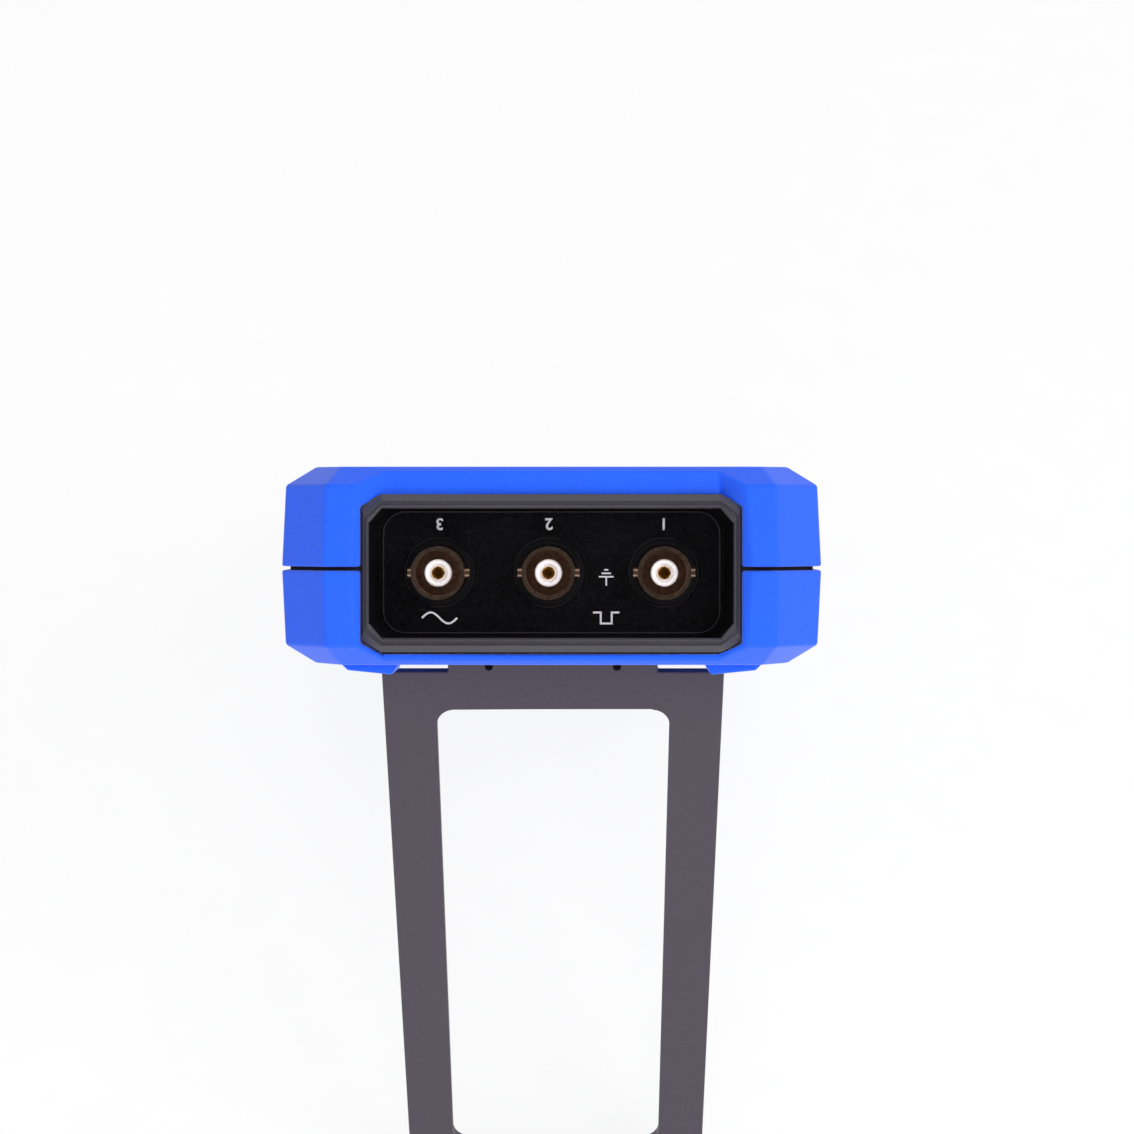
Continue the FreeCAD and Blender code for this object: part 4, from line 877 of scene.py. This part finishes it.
print_on_key("ok_key", "ring", strokes([arc((0, 0), 1.5 * MM, 0, 360, 32)], KEY_STROKE))
power = [arc((0, 0), 1.6 * MM, 130, 410, 20), [(0, 0.3 * MM), (0, 2.0 * MM)]]
print_on_key("power_key", "sign", strokes(power, KEY_STROKE))
BAR = Matrix.Diagonal((0.5 * MM, 2.6 * MM, 1, 1))
run = triangle(0.2 * MM, -2.4 * MM, 1.4 * MM)
for across in (1.1 * MM, 2.2 * MM):
    bmesh.ops.create_grid(run, size=0.5, matrix=Matrix.Translation((across, 0, 0)) @ BAR)
print_on_key("run_key", "sign", run)

# ---------------------------------------------------------------- boards and batteries
# Inside: an epoxy glass board with green solder mask, a tinned shield over the inputs, the grey
# silicone mat that carries the key domes, and two wrapped lithium cells.

# Solder mask is a glossy green lacquer, and tin plate a dull grey mirror.
wear(moulded("green_solder_mask", "#185a31", "#1f6b3c", 0.4, 0.5, 0.003), "main_board")
wear(plated("tin_plate", "#8f9092", "#a8a9ab", 0.35), "input_shield")
# Uncoated silicone is chalky, and shrunk wrap has a wet shine.
wear(moulded("mat_silicone", "#7d7d80", "#8b8b8d", 0.7, 0.4, 0.006), "keypad_mat")
wear(moulded("cell_wrap", "#3974aa", "#3f7fb8", 0.3, 1.0, 0.003, coat=0.3), "battery_cells")

# ---------------------------------------------------------------- stand
# One flat plate with a cut-out for the fingers, moulded in a satin charcoal, a shade warmer and
# paler than the case. It turns on a plain steel pin in the back.

STAND_LEAN = math.radians(60)   # from the back, when it is open
STAND_DOWN = Vector((0, -math.cos(STAND_LEAN), -math.sin(STAND_LEAN)))
STAND_OUT = Vector((0, math.sin(STAND_LEAN), -math.cos(STAND_LEAN)))
SHOULDER = 4.3 * MM             # the plate's top edge, below the hinge
SHOULDER_RISE = 0.6 * MM
PLATE_MIDDLE = 4 * MM           # of its thickness, outwards from the hinge
TAB_HALF = 15 * MM


def shoulder_sloped(place):
    """Slope the plate's shoulders, so that only their outer edge comes close to the body."""
    from_hinge = place - middle("hinge_pin")
    if (abs(from_hinge.dot(STAND_DOWN) - SHOULDER) < NEAR
            and from_hinge.dot(STAND_OUT) > PLATE_MIDDLE and abs(place.x) > TAB_HALF):
        return place - STAND_DOWN * SHOULDER_RISE
    return place


# Satin plastic: an even sheen that follows the light slowly over the flat plate.
satin_plate = moulded("satin_stand_plastic", "#3d3641", "#433c48", 0.45, 0.6, 0.004)
softened("kickstand", 0.3, satin_plate, "stand", least=0.5, turn=20, steps=2,
         fit=shoulder_sloped)
# Drawn steel has a plain bright shine.
wear(plated("bright_steel", "#8c8c8f", "#a3a3a6", 0.3), "hinge_pin")

# ---------------------------------------------------------------- USB socket and flap
# A drawn steel shell behind a soft flap of the bumper's own elastomer. The flap swings out on
# its round end.

wear(nickel_painted_warm, "usb_socket")
softened("usb_flap", 0.25, blue_elastomer, "flap", steps=2)

# ---------------------------------------------------------------- screws
# Black-oxided steel machine screws with pan heads: four hold the case halves, two the battery
# cover.

# The oxide is a dark grey with a dim shine. The cross recesses in the heads are too small to see
# into, so the shade in each is painted as a thin black inlay.
wear(plated("black_oxide_steel", "#2c2c2e", "#39393b", 0.42), "case_screws",
     "battery_cover_screws")
recess_shade = moulded("screw_recess_shade", "#050506", "#08080a", 0.7, 0.3, 0.002, specular=0.2)
SCREW_APART = 9 * MM            # no two screws are closer than this
CROSS_STROKE = 0.5 * MM


def heads(node):
    """The middle of each screw's head, on its outer face."""
    screws = []
    for corner in frame["nodes"][node].data.vertices:
        place = INSTRUMENT.inverted() @ corner.co
        near = [screw for screw in screws if (screw[0].xy - place.xy).length < SCREW_APART]
        if near:
            near[0].append(place)
        else:
            screws.append([place])
    tops = []
    for screw in screws:
        across, along, up = zip(*screw)
        tops.append(Vector(((min(across) + max(across)) / 2, (min(along) + max(along)) / 2,
                            min(up))))
    return tops


for node, half in (("case_screws", 1.2 * MM), ("battery_cover_screws", 1.0 * MM)):
    for number, place in enumerate(heads(node), 1):
        edge = CROSS_STROKE / 2
        cross = [[(-half, 0), (half, 0)], [(0, edge), (0, half)], [(0, -half), (0, -edge)]]
        printed(f"{node}_recess_{number}", strokes(cross, CROSS_STROKE),
                INSTRUMENT @ Matrix.Translation(place) @ Matrix.Rotation(math.pi, 4, "X"),
                recess_shade, "instrument")
